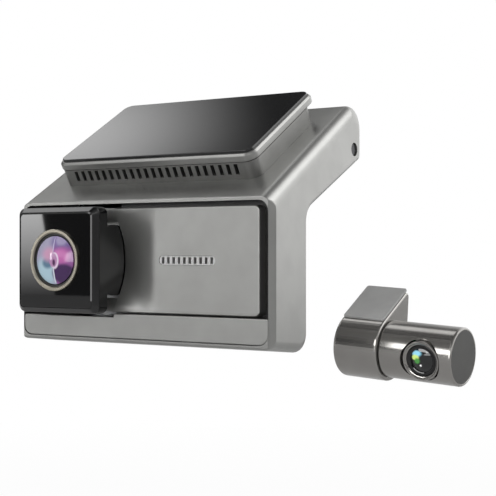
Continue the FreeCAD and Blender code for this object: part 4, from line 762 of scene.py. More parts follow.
def housing_cutters():
    """The blocks that hollow the housing and open it."""
    cavity = offset_corners(CORNERS, (WALL, WALL, WALL, REAR_END_FILL, WALL, WALL))
    hollow = prism_rows(cavity, CAVITY_RADII, facing_side, -OPENING_HALF_W, OPENING_HALF_W)
    cutters = [cutter_from(hollow)]
    for window, place in ((FRONT_OPENING, facing_front), (SCREEN_WINDOW, facing_front),
                          (COVER_RECESS, under_arm), (USB_INLET, on_flank), (CARD_SLOT, on_flank)):
        cutters.append(window_cutter(window, place))
    cutters.append(cutter_from(turned_rows(JACK_PROFILE, on_slope(-HALF_W, *JACK_AT), ACROSS, 32)))
    for side in (-1, 1):
        start = spot(side * (HALF_W + 1), *SCREW_AT)
        cutters.append(cutter_from(turned_rows(SCREW_PROFILE, start, ACROSS * -side, 48)))
    return cutters


bm = bmesh.new()
cutters = housing_cutters()
rows_to_mesh(bm, housing_rows())
shell = finish_piece("Housing_Moulding", bm, "housing", satin_paint, ("housing_shell",))
cut_away(shell, cutters)
add_edge_bevel(shell, EDGE_BEVEL)
print("housing faces", len(shell.data.polygons))

# %% [markdown]
# The front panel is a separate plate that sits in the opening with a dark groove round it. Beside the pod its
# surface falls away in a scoop, so that the pod can be reached and tilted. The scoop is nearly as high as the
# panel beside the pod, and narrows and fades out to the right. A boolean would leave a hard rim, so the depth
# is worked out point by point on a fine grid, and a soft bend rolls the rim over into the flat. Behind the
# panel lies a thin flange, coloured dark as painted shade, which is what shows in the groove, and two small
# ears close the panel's opening above and below the pod's drum.

# %% Front panel
PANEL_LEFT, PANEL_RIGHT = -9.9, 44.9
PANEL_HALF_H = 16.9
PANEL_FACE_Y = 1.0
PANEL_CORNER = 2.0
PANEL_EDGE = 0.45
SCOOP_END_X = 5.2
SCOOP_DEPTH = 5.6
SCOOP_SOFT = 0.16
SCOOP_NARROWS = 2.6
SCOOP_POWERS = (5.0, 2.2)
ROW_POINTS = 96
FINE_STEP, FINE_COUNT = 0.3, 58
PLAIN_X, PLAIN_STEP, PLAIN_COUNT = 8.0, 1.75, 20
END_STEPS = 12
GROOVE_FLOOR_Y = 4.5
THICK_BACK_Y = 8.6                      # the panel's back behind the scoop
THIN_BACK_Y = GROOVE_FLOOR_Y + 1
GRILLE_X = 18.3
GRILLE_HALF_LEN = 10.7
GRILLE_SLOT = (GRILLE_X - GRILLE_HALF_LEN, GRILLE_X + GRILLE_HALF_LEN, -1.5, 1.5, 1.49, -2.0, 9.0)
FLANGE_FOOT_Z = -17.1
FLANGE_BACK_Y = GROOVE_FLOOR_Y + 1.4
FLANGE_RADII = (0.1, 0.1, 3.3, 0.1)
FLANGE_WINDOW = (PANEL_LEFT - 1.0, PLAIN_X, -16.2, 16.2, 0.1, 0.0, 9.0)
SEAM = 0.1
EAR_LEFT = -15.5
EAR_FACE_Y = 2.6
EAR_INNER_Z = 12.4


def soft_positive(value, soft):
    """The value where it is positive and nothing where it is negative, with a soft bend between."""
    return (value + math.sqrt(value ** 2 + soft ** 2)) / 2


def scoop_depth(x, z):
    """How far the scoop lies behind the panel's face: deep beside the pod, lower and shallow further off."""
    run = (SCOOP_END_X - x) / (SCOOP_END_X - PANEL_LEFT)
    share = min(max(run, 0), 1)
    reach = PANEL_HALF_H - SCOOP_NARROWS * share
    power = SCOOP_POWERS[0] + (SCOOP_POWERS[1] - SCOOP_POWERS[0]) * share
    bowl = soft_positive(1 - (abs(z) / reach) ** power, SCOOP_SOFT) - SCOOP_SOFT ** 2 / 4
    return SCOOP_DEPTH * soft_positive(run, SCOOP_SOFT) * max(bowl, 0)


def panel_half_height(x):
    """Half the panel's height, less round its right corners."""
    past = max(x - (PANEL_RIGHT - PANEL_CORNER), 0)
    return PANEL_HALF_H - PANEL_CORNER + math.sqrt(max(PANEL_CORNER ** 2 - past ** 2, 0))


def panel_row(x):
    """One upright slice of the panel: its front from foot to head, then its back."""
    half = panel_half_height(x)
    row = []
    for i in range(ROW_POINTS + 1):
        share = 2 * i / ROW_POINTS - 1
        z = half * share
        side = min(half - abs(z), PANEL_RIGHT - x)
        round_off = edge_inset(max(side, 0), PANEL_EDGE)
        row.append(spot(x, PANEL_FACE_Y + scoop_depth(x, z) + round_off, z))
    back = THICK_BACK_Y if x < PLAIN_X else THIN_BACK_Y
    row.append(spot(x, back, half))
    row.append(spot(x, back, -half))
    return row


def panel_xs():
    """Where the panel's slices stand: close together over the scoop and round the right corners."""
    scoop = [PANEL_LEFT + FINE_STEP * i for i in range(FINE_COUNT)]
    plain = [PLAIN_X + PLAIN_STEP * i for i in range(PLAIN_COUNT)]
    turns = [math.pi / 2 * i / END_STEPS for i in range(END_STEPS + 1)]
    return scoop + plain + [PANEL_RIGHT - PANEL_CORNER + PANEL_CORNER * math.sin(turn) for turn in turns]


bm = bmesh.new()
rows_to_mesh(bm, [panel_row(x) for x in panel_xs()])
panel = finish_piece("Front_Panel", bm, "housing", panel_paint, ("front_panel",))
cut_away(panel, [window_cutter(GRILLE_SLOT, facing_front)])
outline = box_corners(PANEL_LEFT, OPENING_HALF_W - SEAM, FLANGE_FOOT_Z, OPENING_TOP)
bm = bmesh.new()
rows_to_mesh(bm, prism_rows(outline, FLANGE_RADII, facing_front, GROOVE_FLOOR_Y, FLANGE_BACK_Y))
# The flange is coloured dark as painted shade in the groove round the panel.
flange = finish_piece("Panel_Flange", bm, "housing", painted_groove_shade)
cut_away(flange, [window_cutter(FLANGE_WINDOW, facing_front)])
for name, foot, head in (("Panel_Ear_Top", EAR_INNER_Z, PANEL_HALF_H),
                         ("Panel_Ear_Foot", -PANEL_HALF_H, -EAR_INNER_Z)):
    ear = box_corners(EAR_LEFT, PANEL_LEFT + SEAM, foot, head)
    bm = bmesh.new()
    rows_to_mesh(bm, prism_rows(ear, (SEAM,) * 4, facing_front, EAR_FACE_Y, GROOVE_FLOOR_Y))
    finish_piece(name, bm, "housing", panel_paint)
print("panel faces", len(panel.data.polygons), "flange faces", len(flange.data.polygons))

# %% [markdown]
# The chin is a loose strip along the foot of the front. It is lower under the pod, where it has to leave
# room for the pod to tilt. Its rim is rounded, so the light runs along it as a thin line.

# %% Chin
CHIN_HALF_W = OPENING_HALF_W - SEAM
CHIN_FOOT_Z = OPENING_BOTTOM + SEAM
CHIN_TOP_Z = -17.3
CHIN_LOW_TOP_Z = -18.3                  # under the pod
CHIN_CORNERS = ((-CHIN_HALF_W, CHIN_FOOT_Z), (CHIN_HALF_W, CHIN_FOOT_Z), (CHIN_HALF_W, CHIN_TOP_Z),
                (PANEL_LEFT, CHIN_TOP_Z), (PANEL_LEFT, CHIN_LOW_TOP_Z), (-CHIN_HALF_W, CHIN_LOW_TOP_Z))
CHIN_RADII = (3.3, 3.3, 0.5, 0.3, 0.4, 0.9)
CHIN_FACE_Y = 0.2
CHIN_BACK_Y = 6.0
CHIN_RIM = 0.35


def soft_prism_rows(corners, radii, place, near, far, edge):
    """Rows of an outline pulled from near to far, with its near rim rounded."""
    rows = []
    for step in range(RIM_STEPS + 1):
        angle = math.pi / 2 * step / RIM_STEPS
        inset = edge * (1 - math.sin(angle))
        moved = offset_corners(corners, (inset,) * len(corners))
        outline = round_corners(moved, [max(r - inset, SMALLEST_CORNER) for r in radii])
        rows.append([place(p.x, p.y, near + edge * (1 - math.cos(angle))) for p in outline])
    outline = round_corners(corners, radii)
    rows.append([place(p.x, p.y, far) for p in outline])
    return rows


bm = bmesh.new()
rows_to_mesh(bm, soft_prism_rows(CHIN_CORNERS, CHIN_RADII, facing_front, CHIN_FACE_Y, CHIN_BACK_Y, CHIN_RIM))
chin = finish_piece("Chin_Trim", bm, "housing", panel_paint, ("chin_trim",))
print("chin faces", len(chin.data.polygons))

# %% [markdown]
# The lens pod is a black polished block that tilts on two pins. Its front edge is bevelled on all four sides,
# its top and bottom fall back to a drum about the tilt axis, and a glass plate is let into its face. A stack
# of rounded rectangles from the face back gives the bevel. What the stack shares with a prism of the side
# outline gives the drum, and then the seat of the glass, the lens bore and the room for the yoke are cut.

# %% Lens pod
POD_FACE_Y = -8.15
POD_RIM_Y = -6.55                       # where the bevel ends
POD_BACK_Y = 14.0
TILT_Y = 1.5
DRUM_R = 11.5
DRUM_STEPS = 24
SIDE_BACK_Y = -2.4
PAST_FRONT_Y = -12.0
PAST_SIDE = 20.0                        # further out than any part of the pod
GLASS_HALF_W, GLASS_HALF_H = 15.3, 15.5
GLASS_FACE_Y = -8.2
GLASS_THICK = 1.2
GLASS_CORNER = 1.5
GLASS_FIT = 0.06
GLASS_HOLE_R = 10.05
GLASS_LIP = 0.1
GLASS_ARC, GLASS_FLAT = 8, 24
GLASS_SHARP = 12                        # degrees, so that the narrow chamfer stays crisp
GLASS_SEAT = (POD_X - GLASS_HALF_W - GLASS_FIT, POD_X + GLASS_HALF_W + GLASS_FIT, -GLASS_HALF_H - GLASS_FIT,
              GLASS_HALF_H + GLASS_FIT, GLASS_CORNER, PAST_FRONT_Y, GLASS_FACE_Y + GLASS_THICK)
BORE_FRONT_Y = -9.0
BORE_PROFILE = ((0.0, 10.06), (4.0, 10.06))
YOKE_ROOM = (POD_X - 15.4, POD_X + 15.4, -9.6, 9.6, 1.0, -5.3, PAST_SIDE)
POD_EDGE = 0.12
# Each level: distance behind the drawing's zero, half width, half height and corner radius.
POD_LEVELS = ((POD_FACE_Y, 15.32, 15.52, 1.5), (POD_FACE_Y + 0.04, 15.5, 15.66, 1.6),
              (POD_RIM_Y - 0.2, 16.78, 16.94, 2.3), (POD_RIM_Y - 0.05, 16.95, 17.1, 2.4),
              (POD_RIM_Y + 0.12, 17.03, 17.18, 2.5), (POD_RIM_Y + 0.4, 17.05, 17.2, 2.5),
              (POD_BACK_Y, 17.05, 17.2, 2.5))
LENS_AXIS = spot(POD_X, 0, 0)


def pod_outline():
    """The pod's side outline, from the foot of its face round its drum to the head of its face."""
    corners = [(PAST_FRONT_Y, -PAST_SIDE), (SIDE_BACK_Y, -PAST_SIDE)]
    start = math.acos((SIDE_BACK_Y - TILT_Y) / DRUM_R)
    for step in range(DRUM_STEPS + 1):
        angle = start * (2 * step / DRUM_STEPS - 1)
        corners.append((TILT_Y + DRUM_R * math.cos(angle), DRUM_R * math.sin(angle)))
    corners += [(SIDE_BACK_Y, PAST_SIDE), (PAST_FRONT_Y, PAST_SIDE)]
    return corners


bm = bmesh.new()
rows_to_mesh(bm, stack_rows(POD_LEVELS, LENS_AXIS, ACROSS, UP, BACK))
pod = finish_piece("Pod_Body", bm, "pod", pod_black, ("pod_body",))
outline = [spot(0, y, z) for y, z in pod_outline()]
side_prism = [[p + ACROSS * (POD_X + d) * MM for p in outline] for d in (-PAST_SIDE, PAST_SIDE)]
cut_away(pod, [cutter_from(side_prism)], "INTERSECT")
bore = turned_rows(BORE_PROFILE, LENS_AXIS + BACK * BORE_FRONT_Y * MM, BACK)
cut_away(pod, [window_cutter(GLASS_SEAT, facing_front), cutter_from(bore)])
cut_away(pod, [window_cutter(YOKE_ROOM, facing_front)])
add_edge_bevel(pod, POD_EDGE)


def circle_match(outline, radius):
    """A ring of places on a circle, one at the same bearing as each place of an outline."""
    ring = []
    for x, z in outline:
        size = math.hypot(x, z)
        ring.append((x / size * radius, z / size * radius))
    return ring


def glass_outline(inset, radius):
    """The rim of the glass, moved in by this much, with corners of this radius."""
    return rounded_rect(GLASS_HALF_W - inset, GLASS_HALF_H - inset, radius, GLASS_ARC, GLASS_FLAT)


def glass_rows():
    """A plate with a round hole: out along the front, round the rim, and back in behind."""
    face, back = GLASS_FACE_Y, GLASS_FACE_Y + GLASS_THICK
    rows = []
    full = glass_outline(0.0, GLASS_CORNER)
    half = glass_outline(0.05, 1.48)
    flat = glass_outline(0.5, 1.2)
    hole = circle_match(full, GLASS_HOLE_R)
    lip = circle_match(full, GLASS_HOLE_R + GLASS_LIP)
    for outline, y in ((hole, back), (hole, face), (lip, face), (flat, face), (half, face + 0.17),
                       (full, face + 0.3), (full, back), (hole, back)):
        rows.append([spot(POD_X + x, y, z) for x, z in outline])
    return rows


bm = bmesh.new()
rows_to_mesh(bm, glass_rows(), False, False)
glass = finish_piece("Pod_Front_Glass", bm, "pod", pod_glass, ("pod_front_glass",),
                     GLASS_SHARP, True)
print("pod faces", len(pod.data.polygons), "glass faces", len(glass.data.polygons))

# %% [markdown]
# In the hole sits the lens. Its ring is turned from aluminium with a chamfer inside, which is what catches
# the light. A black step follows, and then a domed and coated front element. The elements behind it show only
# as painted reflections: coloured patches painted into its base colour.

# %% Lens
RING_PROFILE = ((-7.0, 10.05), (-8.85, 10.05), (-9.0, 9.9), (-9.0, 9.15), (-8.75, 8.75), (-8.3, 8.62),
                (-7.0, 8.62), (-7.0, 10.05))
STEP_PROFILE = ((-7.0, 8.6), (-8.2, 8.6), (-8.2, 8.2), (-7.9, 7.85), (-7.0, 7.85), (-7.0, 8.6))
LENS_EDGE_Y = -8.2
LENS_RISE, LENS_BACK = 1.5, 1.15


def turned_piece(name, profile, start, axis, material, body, nodes):
    """A closed turned part."""
    bm = bmesh.new()
    rows_to_mesh(bm, turned_rows(profile, start, axis), False, False)
    return finish_piece(name, bm, body, material, nodes, weld=True)


ring = turned_piece("Lens_Ring", RING_PROFILE, LENS_AXIS, BACK, champagne_metal, "pod",
                    ("lens_ring",))
turned_piece("Lens_Step_Ring", STEP_PROFILE, LENS_AXIS, BACK, black_plastic, "pod",
             ("lens_gap_ring",))
bm = bmesh.new()
dome = dome_profile(LENS_R, LENS_RISE, LENS_BACK)
rows_to_mesh(bm, turned_rows(dome, LENS_AXIS + BACK * LENS_EDGE_Y * MM, BACK))
finish_piece("Lens_Front_Element", bm, "pod", lens_painted_reflections, ("lens_front_element",))
print("lens ring across", round(ring.dimensions.x / MM, 1), "mm")

# %% [markdown]
# On the sloping top stands the mount: a vented riser, a tray that hooks into it with two T-shaped feet, and
# a glossy plate that sticks to the glass. Tray and plate are stacks of rounded rectangles in the slope's own
# directions. The riser keeps its construction solid, whose vents are already the right ones, and only gets
# its material and soft edges.

# %% Windscreen mount
MOUNT_X = 0.6
TRAY_S = (11.0, 57.4)
TRAY_HALF_W = 39.1
TRAY_CORNER = 4.0
TRAY_SHARP = 40                         # degrees
PLATE_INSET = 1.1
PLATE_SHARP = 50                        # degrees
PLATE_ARC, PLATE_FLAT = 8, 16
# Each level: its distance off the slope, and how far its rim is in.
TRAY_LEVELS = ((6.05, 0.3), (6.12, 0.12), (6.35, 0.0), (7.95, 0.0), (8.05, 0.04), (8.6, 0.55), (8.75, 0.75))
PLATE_LEVELS = ((8.7, 0.0), (9.3, 0.0), (9.42, 0.03), (9.52, 0.12), (9.55, 0.26))
FOOT_S = (25.0, 48.0)
FOOT_HALF_S = 3.0
FOOT_CORNER = 0.3
FOOT_PARTS = ((8.0, 3.0, 6.2), (11.0, 2.9, 4.1))    # stem and head: half width, bottom and top
SLOPE_ZERO = spot(0, 0, BROW_Z)


def mount_rows(levels, inset):
    """Rows of a mount plate that is this much smaller than the tray all round."""
    s_mid = (TRAY_S[0] + TRAY_S[1]) / 2
    s_half = (TRAY_S[1] - TRAY_S[0]) / 2 - inset
    half_w = TRAY_HALF_W - inset
    corner = TRAY_CORNER - inset
    rows = [(h, half_w - cut, s_half - cut, corner - cut) for h, cut in levels]
    return stack_rows(rows, SLOPE_ZERO, ACROSS, UPHILL, OFF_SLOPE, (MOUNT_X, s_mid), PLATE_ARC, PLATE_FLAT)


def foot_rows(foot_s, half_w, low, high):
    """Rows of the stem or the head of one T-shaped foot."""
    levels = [(h, half_w, FOOT_HALF_S, FOOT_CORNER) for h in (low, high)]
    return stack_rows(levels, SLOPE_ZERO, ACROSS, UPHILL, OFF_SLOPE, (MOUNT_X, foot_s), 3, 2)


bm = bmesh.new()
rows_to_mesh(bm, mount_rows(TRAY_LEVELS, 0.0))
for foot_s in FOOT_S:
    for part in FOOT_PARTS:
        rows_to_mesh(bm, foot_rows(foot_s, *part))
tray = finish_piece("Mount_Tray", bm, "mounts", tray_paint, ("mount_tray",), TRAY_SHARP)
bm = bmesh.new()
rows_to_mesh(bm, mount_rows(PLATE_LEVELS, PLATE_INSET))
plate = finish_piece("Mount_Plate", bm, "mounts", plate_gloss, ("mount_plate",), PLATE_SHARP)
print("tray faces", len(tray.data.polygons), "plate", round(plate.dimensions.x / MM, 1), "mm wide")

# %% [markdown]
# The rear camera is drawn in its own directions, which the joint of its barrel gives: along the barrel to
# the flat end, back, and up. The bracket is a drop shape, round at the foot and flat where its adhesive pad
# sticks to the rear glass. Its outline is worked out for any inset, so both of its rims can be rounded.

# %% Rear camera: bracket
rear_joint = next(joint for joint in frame["joints"] if joint["name"] == "rear_turn")
REAR_ZERO = Vector(rear_joint["pos_m"])
REAR_ALONG = Vector(rear_joint["axis"]).normalized()
REAR_BACK = UP.cross(REAR_ALONG).normalized()
REAR_UP = REAR_ALONG.cross(REAR_BACK)
BARREL_R, BARREL_LEN = 10.8, 29.6
BRACKET_R, BRACKET_W = 12.2, 18.7
FLAT_ANGLE = math.radians(32.2)
FLAT_ALONG = Vector((math.cos(FLAT_ANGLE), math.sin(FLAT_ANGLE)))
BRACKET_ARC = 44
BRACKET_STEPS = (0.0, 0.05, 0.14, 0.28, 0.5, 0.8, 1.2)
BRACKET_OUTER_EDGE, BRACKET_INNER_EDGE = 1.2, 0.8
BRACKET_TOP_R, BRACKET_LEAST_R = 1.6, 0.2
PAD_EDGE, PAD_THICK = 0.6, 0.8
PAD_START, PAD_CORNER = 0.02, 1.0
PAD_RIMS = (0.05, 0.22)


def rear_spot(x, y, z):
    """A place x along the barrel's axis, y back and z up, from the middle of the flat end."""
    return REAR_ZERO + (REAR_ALONG * x + REAR_BACK * y + REAR_UP * z) * MM


def bracket_outline(inset):
    """Points round the bracket, its foot first."""
    radius = BRACKET_R - inset
    first = math.pi / 2 + FLAT_ANGLE
    corners = []
    for step in range(BRACKET_ARC + 1):
        angle = first + (2 * math.pi - first) * step / BRACKET_ARC
        corners.append((radius * math.cos(angle), radius * math.sin(angle)))
    start = Vector(corners[0])
    top = start + FLAT_ALONG * ((radius - start.x) / FLAT_ALONG.x)
    corners.append((top.x, top.y))
    radii = [LEAST_RADIUS] * (BRACKET_ARC + 1) + [max(BRACKET_TOP_R - inset, BRACKET_LEAST_R)]
    return round_corners(corners, radii, arc=4, flat=4)


def bracket_row(x, inset):
    """One slice of the bracket."""
    return [rear_spot(x, p.x, p.y) for p in bracket_outline(inset)]


bracket_left = -BARREL_LEN - BRACKET_W
rows = [bracket_row(bracket_left + t, edge_inset(t, BRACKET_OUTER_EDGE)) for t in BRACKET_STEPS]
rows += [bracket_row(-BARREL_LEN - t, edge_inset(t, BRACKET_INNER_EDGE)) for t in reversed(BRACKET_STEPS)]
bm = bmesh.new()
rows_to_mesh(bm, rows)
finish_piece("Rear_Bracket", bm, "mounts", rear_paint, ("rear_bracket",))
flat_start = Vector((-math.sin(FLAT_ANGLE), math.cos(FLAT_ANGLE))) * BRACKET_R
flat_len = (BRACKET_R - flat_start.x) / FLAT_ALONG.x
pad_along = REAR_BACK * FLAT_ALONG.x + REAR_UP * FLAT_ALONG.y
pad_off = REAR_UP * FLAT_ALONG.x - REAR_BACK * FLAT_ALONG.y
pad_zero = rear_spot(-BARREL_LEN - BRACKET_W / 2, flat_start.x, flat_start.y)
pad_zero = pad_zero + pad_along * (flat_len / 2) * MM
pad_levels = soft_levels(PAD_START, PAD_THICK, BRACKET_W / 2 - PAD_EDGE, flat_len / 2 - PAD_EDGE, PAD_CORNER,
                         *PAD_RIMS)
bm = bmesh.new()
rows_to_mesh(bm, stack_rows(pad_levels, pad_zero, REAR_ALONG, pad_along, pad_off))
finish_piece("Rear_Pad", bm, "mounts", pad_film, ("rear_pad",))
print("flat of the bracket", round(flat_len, 1), "mm long")

# %% [markdown]
# The barrel is turned, with a pocket milled across it for the lens. The pocket is a little wider than the rim
# that sits in it, so that a dark crescent shows above the rim. The end cap has a bright chamfer round a matte
# face.

# %% Rear camera: barrel and cap
LENS_FROM_END = 12.3
LENS_TILT = math.radians(12.3)
SEAT_OUT = 6.4
POCKET_PROFILE = ((SEAT_OUT, 7.9), (BARREL_R + 6, 7.9))
BARREL_PROFILE = ((-29.3, 4.0), (-29.3, 10.4), (-29.15, 10.7), (-28.9, 10.8), (-1.2, 10.8), (-1.2, 9.3),
                  (-27.8, 9.3), (-27.8, 4.0), (-29.3, 4.0))
BARREL_EDGE = 0.16
CAP_PROFILE = ((-1.2, 0.05), (-1.2, 10.8), (-0.6, 10.8), (-0.16, 10.55), (-0.02, 10.2), (-0.02, 10.0),
               (-0.14, 9.9), (-0.2, 0.05), (-1.2, 0.05))
FACE_PROFILE = ((-0.25, 0.05), (-0.25, 9.86), (-0.12, 9.82), (-0.12, 0.05), (-0.25, 0.05))
rear_lens_dir = (REAR_BACK * -math.cos(LENS_TILT) - REAR_UP * math.sin(LENS_TILT)).normalized()
rear_lens_at = rear_spot(-LENS_FROM_END, 0, 0)
barrel = turned_piece("Rear_Barrel", BARREL_PROFILE, REAR_ZERO, REAR_ALONG, rear_paint,
                      "rear_camera", ("rear_barrel",))
cut_away(barrel, [cutter_from(turned_rows(POCKET_PROFILE, rear_lens_at, rear_lens_dir))])
add_edge_bevel(barrel, BARREL_EDGE)
turned_piece("Rear_End_Cap", CAP_PROFILE, REAR_ZERO, REAR_ALONG, rear_paint,
             "rear_camera", ("rear_end_cap",))
turned_piece("Rear_Cap_Face", FACE_PROFILE, REAR_ZERO, REAR_ALONG, cap_paint,
             "rear_camera", ())
print("barrel faces", len(barrel.data.polygons))

# %% [markdown]
# The rear lens is built up as the real one is: a painted rim with a rounded lip, a stepped black holder, and
# a small domed element whose blue and green glints are painted reflections in its base colour.

# %% Rear camera: lens
BEZEL_PROFILE = ((SEAT_OUT, 7.3), (9.75, 7.3), (9.95, 7.15), (10.0, 6.95), (9.95, 6.75), (9.5, 6.45),
                 (9.3, 6.05), (SEAT_OUT, 6.05), (SEAT_OUT, 7.3))
HOLDER_PROFILE = ((SEAT_OUT, 6.0), (9.2, 6.0), (9.25, 5.85), (8.95, 5.6), (8.95, 5.25), (9.1, 5.15),
                  (9.1, 4.8), (8.9, 4.5), (SEAT_OUT, 4.45), (SEAT_OUT, 6.0))
REAR_LENS_EDGE = 8.8
REAR_LENS_RISE, REAR_LENS_THICK = 1.1, 2.2
turned_piece("Rear_Lens_Bezel", BEZEL_PROFILE, rear_lens_at, rear_lens_dir, rear_paint,
             "rear_camera", ("rear_lens_bezel",))
turned_piece("Rear_Lens_Holder", HOLDER_PROFILE, rear_lens_at, rear_lens_dir, piano_black,
             "rear_camera", ("rear_lens_holder",))
dome = dome_profile(REAR_LENS_R, REAR_LENS_RISE, REAR_LENS_THICK)
bm = bmesh.new()
rows_to_mesh(bm, turned_rows([(REAR_LENS_EDGE - d, r) for d, r in dome], rear_lens_at, rear_lens_dir))
finish_piece("Rear_Lens_Glass", bm, "rear_camera", rear_lens_painted_reflections, ("rear_lens_glass",))
print("rear lens across", 2 * REAR_LENS_R, "mm")

# %% [markdown]
# Many pieces need no new mesh: their construction solid has the right shape, so it only gets a real finish.
# Where an edge would show as a razor line, a weld and a narrow bevel are added as modifiers, which leaves the
# solid itself alone.

# %% Finish the construction's own solids
NODE_FINISH = {
    "speaker_grille": grille_paint, "speaker_driver": black_plastic, "mount_base": riser_paint,
    "rear_bezel": bezel_plastic, "screen_glass": display_black, "display_panel": display_black,
    "display_frame": steel, "arm_cover": satin_paint, "arm_cover_screws": dark_steel,
    "side_screws": dark_steel,
    "pod_yoke": black_plastic, "yoke_screws": steel, "axle_pins": steel, "friction_washers": rubber,
    "main_board": board_green, "processor": black_plastic, "heat_sink": bright_metal,
    "button_board": board_green,
    "io_board": board_green, "supercapacitors": sleeve, "gps_antenna": ceramic, "usb_inlet": steel,
    "camera_jack": black_plastic, "card_slot": black_plastic, "memory_card": black_plastic,
    # The inner front lens element takes the lens material with painted reflections.
    "lens_barrel": black_plastic, "aperture_disc": black_plastic, "lens_rear_element": lens_painted_reflections,
    "image_sensor": black_plastic, "sensor_board": board_green, "rear_lid": tray_paint,
    "rear_cable_inlet": tray_paint, "rear_pivot_pin": steel, "rear_friction_washer": rubber,
    # The inner rear lens takes the rear lens material with painted reflections.
    "rear_inner_lens": rear_lens_painted_reflections, "rear_sensor": black_plastic, "rear_board": board_green,
    "button_1": rubber, "button_2": rubber, "button_3": rubber, "button_4": rubber, "button_5": rubber,
}
SOFT_EDGES = {"mount_base": 0.2, "rear_bezel": 0.25, "screen_glass": 0.15, "arm_cover": 0.15,
              "speaker_grille": 0.06, "usb_inlet": 0.06, "memory_card": 0.1, "rear_cable_inlet": 0.1,
              "button_1": 0.25, "button_2": 0.25, "button_3": 0.25, "button_4": 0.25, "button_5": 0.25}
NODE_BEVEL_SEGMENTS = 2
NODE_SHARP_ANGLE = 40                   # degrees


def soften_node(node, width):
    """Weld a construction solid's shading seams and round its edges, by modifiers only."""
    weld = node.modifiers.new("weld", "WELD")
    weld.merge_threshold = WELD_DISTANCE
    mod = node.modifiers.new("edge", "BEVEL")
    mod.width = width * MM
    mod.segments = NODE_BEVEL_SEGMENTS
    mod.limit_method = "ANGLE"
    mod.angle_limit = math.radians(NODE_SHARP_ANGLE)
    even = node.modifiers.new("even", "WEIGHTED_NORMAL")
    even.keep_sharp = True


for name, material in NODE_FINISH.items():
    node = frame["nodes"][name]
    for slot in node.material_slots:
        slot.material = material
for name, width in SOFT_EDGES.items():
    soften_node(frame["nodes"][name], width)
print("construction solids kept", len(NODE_FINISH))

# %% [markdown]
# The camera stands about 36 cm off, in front and to the right, level with the lens axis. Its lens is long, as
# in most product shots: a short lens would have to come closer, and near corners would then look too large.
# It looks almost level, so the uprights stay upright.


# %% Camera
CAMERA_AT = (220.3, -289.6, 3.1)
CAMERA_YAW = math.radians(31.7)
CAMERA_PITCH = math.radians(0.13)
SENSOR_MM = 36.0
FOCAL_MM = 82.464677
CAMERA_REACH = 10.0                     # metres


def add_camera():
    """A long lens in front of the object and to its right."""
    data = bpy.data.cameras.new("Camera")
    data.sensor_width = SENSOR_MM
    data.lens = FOCAL_MM
    data.clip_end = CAMERA_REACH
    camera = bpy.data.objects.new("Camera", data)
    bpy.context.scene.collection.objects.link(camera)
    camera.location = spot(*CAMERA_AT)
    level = math.cos(CAMERA_PITCH)
    look = Vector((-math.sin(CAMERA_YAW) * level, math.cos(CAMERA_YAW) * level, math.sin(CAMERA_PITCH)))
    camera.rotation_euler = look.to_track_quat("-Z", "Y").to_euler()
    bpy.context.scene.camera = camera
    return camera


camera = add_camera()
print("lens", round(camera.data.lens, 1), "mm")

# %% [markdown]
# The world is white where the camera looks past the object. Everything else sees a studio: a dim room with
# soft boxes in a few directions. Metallic paint and black glass take most of their shading from what they
# mirror, so each box stands where one of the faces mirrors it. The cosine between a ray and a direction,
# passed through a smooth step, gives a round box with soft edges, and two steps that face each other give a
# band. A box of negative power is what a studio calls a black card: it takes light away. Three small area
# lamps add what the sky can't: light from near by, and soft shadows on the pale floor.


# %% Studio
class Sky:
    """A sky put together from directions."""

    def __init__(self):
        self.world = bpy.data.worlds.new("Studio_World")
        bpy.context.scene.world = self.world
        self.world.use_nodes = True
        self.tree = self.world.node_tree
        self.tree.nodes.clear()
        self.way = add_node(self.tree, "ShaderNodeTexCoord").outputs["Generated"]
        self.total = None

    def math(self, operation, *values):
        """One arithmetic node."""
        inputs = dict(enumerate(values))
        return add_node(self.tree, "ShaderNodeMath", {"operation": operation}, inputs).outputs["Value"]

    def cosine(self, direction):
        """The cosine between the ray and a direction."""
        node = add_node(self.tree, "ShaderNodeVectorMath", {"operation": "DOT_PRODUCT"},
                        {0: self.way, 1: direction})
        return node.outputs["Value"]

    def step(self, value, low, high, top=1.0):
        """A smooth rise from nothing at low to top at high."""
        node = add_node(self.tree, "ShaderNodeMapRange", {"interpolation_type": "SMOOTHSTEP"},
                        {"Value": value, "From Min": low, "From Max": high, "To Max": top})
        return node.outputs["Result"]

    def add(self, value):
        """Add light from a part of the sky."""
        self.total = value if self.total is None else self.math("ADD", self.total, value)

    def add_box(self, power, *sides):
        """Add a soft box: a product of steps, each from nothing at low to full at high along a direction."""
        light = power
        for direction, low, high in sides:
            light = self.math("MULTIPLY", light, self.step(self.cosine(direction), low, high))
        self.add(light)

    def finish(self):
        """Put white before the camera, and the studio before everything else."""
        studio = add_node(self.tree, "ShaderNodeBackground", {}, {"Color": self.total, "Strength": 1.0})
        white = add_node(self.tree, "ShaderNodeBackground", {}, {"Color": (1, 1, 1, 1), "Strength": 1.0})
        path = add_node(self.tree, "ShaderNodeLightPath")
        mix = add_node(self.tree, "ShaderNodeMixShader", {}, {"Fac": path.outputs["Is Camera Ray"],
                                                              1: studio.outputs["Background"],
                                                              2: white.outputs["Background"]})
        add_node(self.tree, "ShaderNodeOutputWorld", {}, {"Surface": mix.outputs["Shader"]})


def toward(azimuth, elevation):
    """A unit direction: azimuth 0 is straight back, 90 is left, and elevation is above the level."""
    a, e = math.radians(azimuth), math.radians(elevation)
    return (-math.sin(a) * math.cos(e), math.cos(a) * math.cos(e), math.sin(e))


ROOM = 0.06
ABOVE = (0.0, 0.0, 1.0)
PLATE_WAY = (-0.811, -0.442, -0.383)
PLATE_ACROSS = (-0.12, 0.77, -0.63)
GLASS_EDGE = toward(48.35, -9)
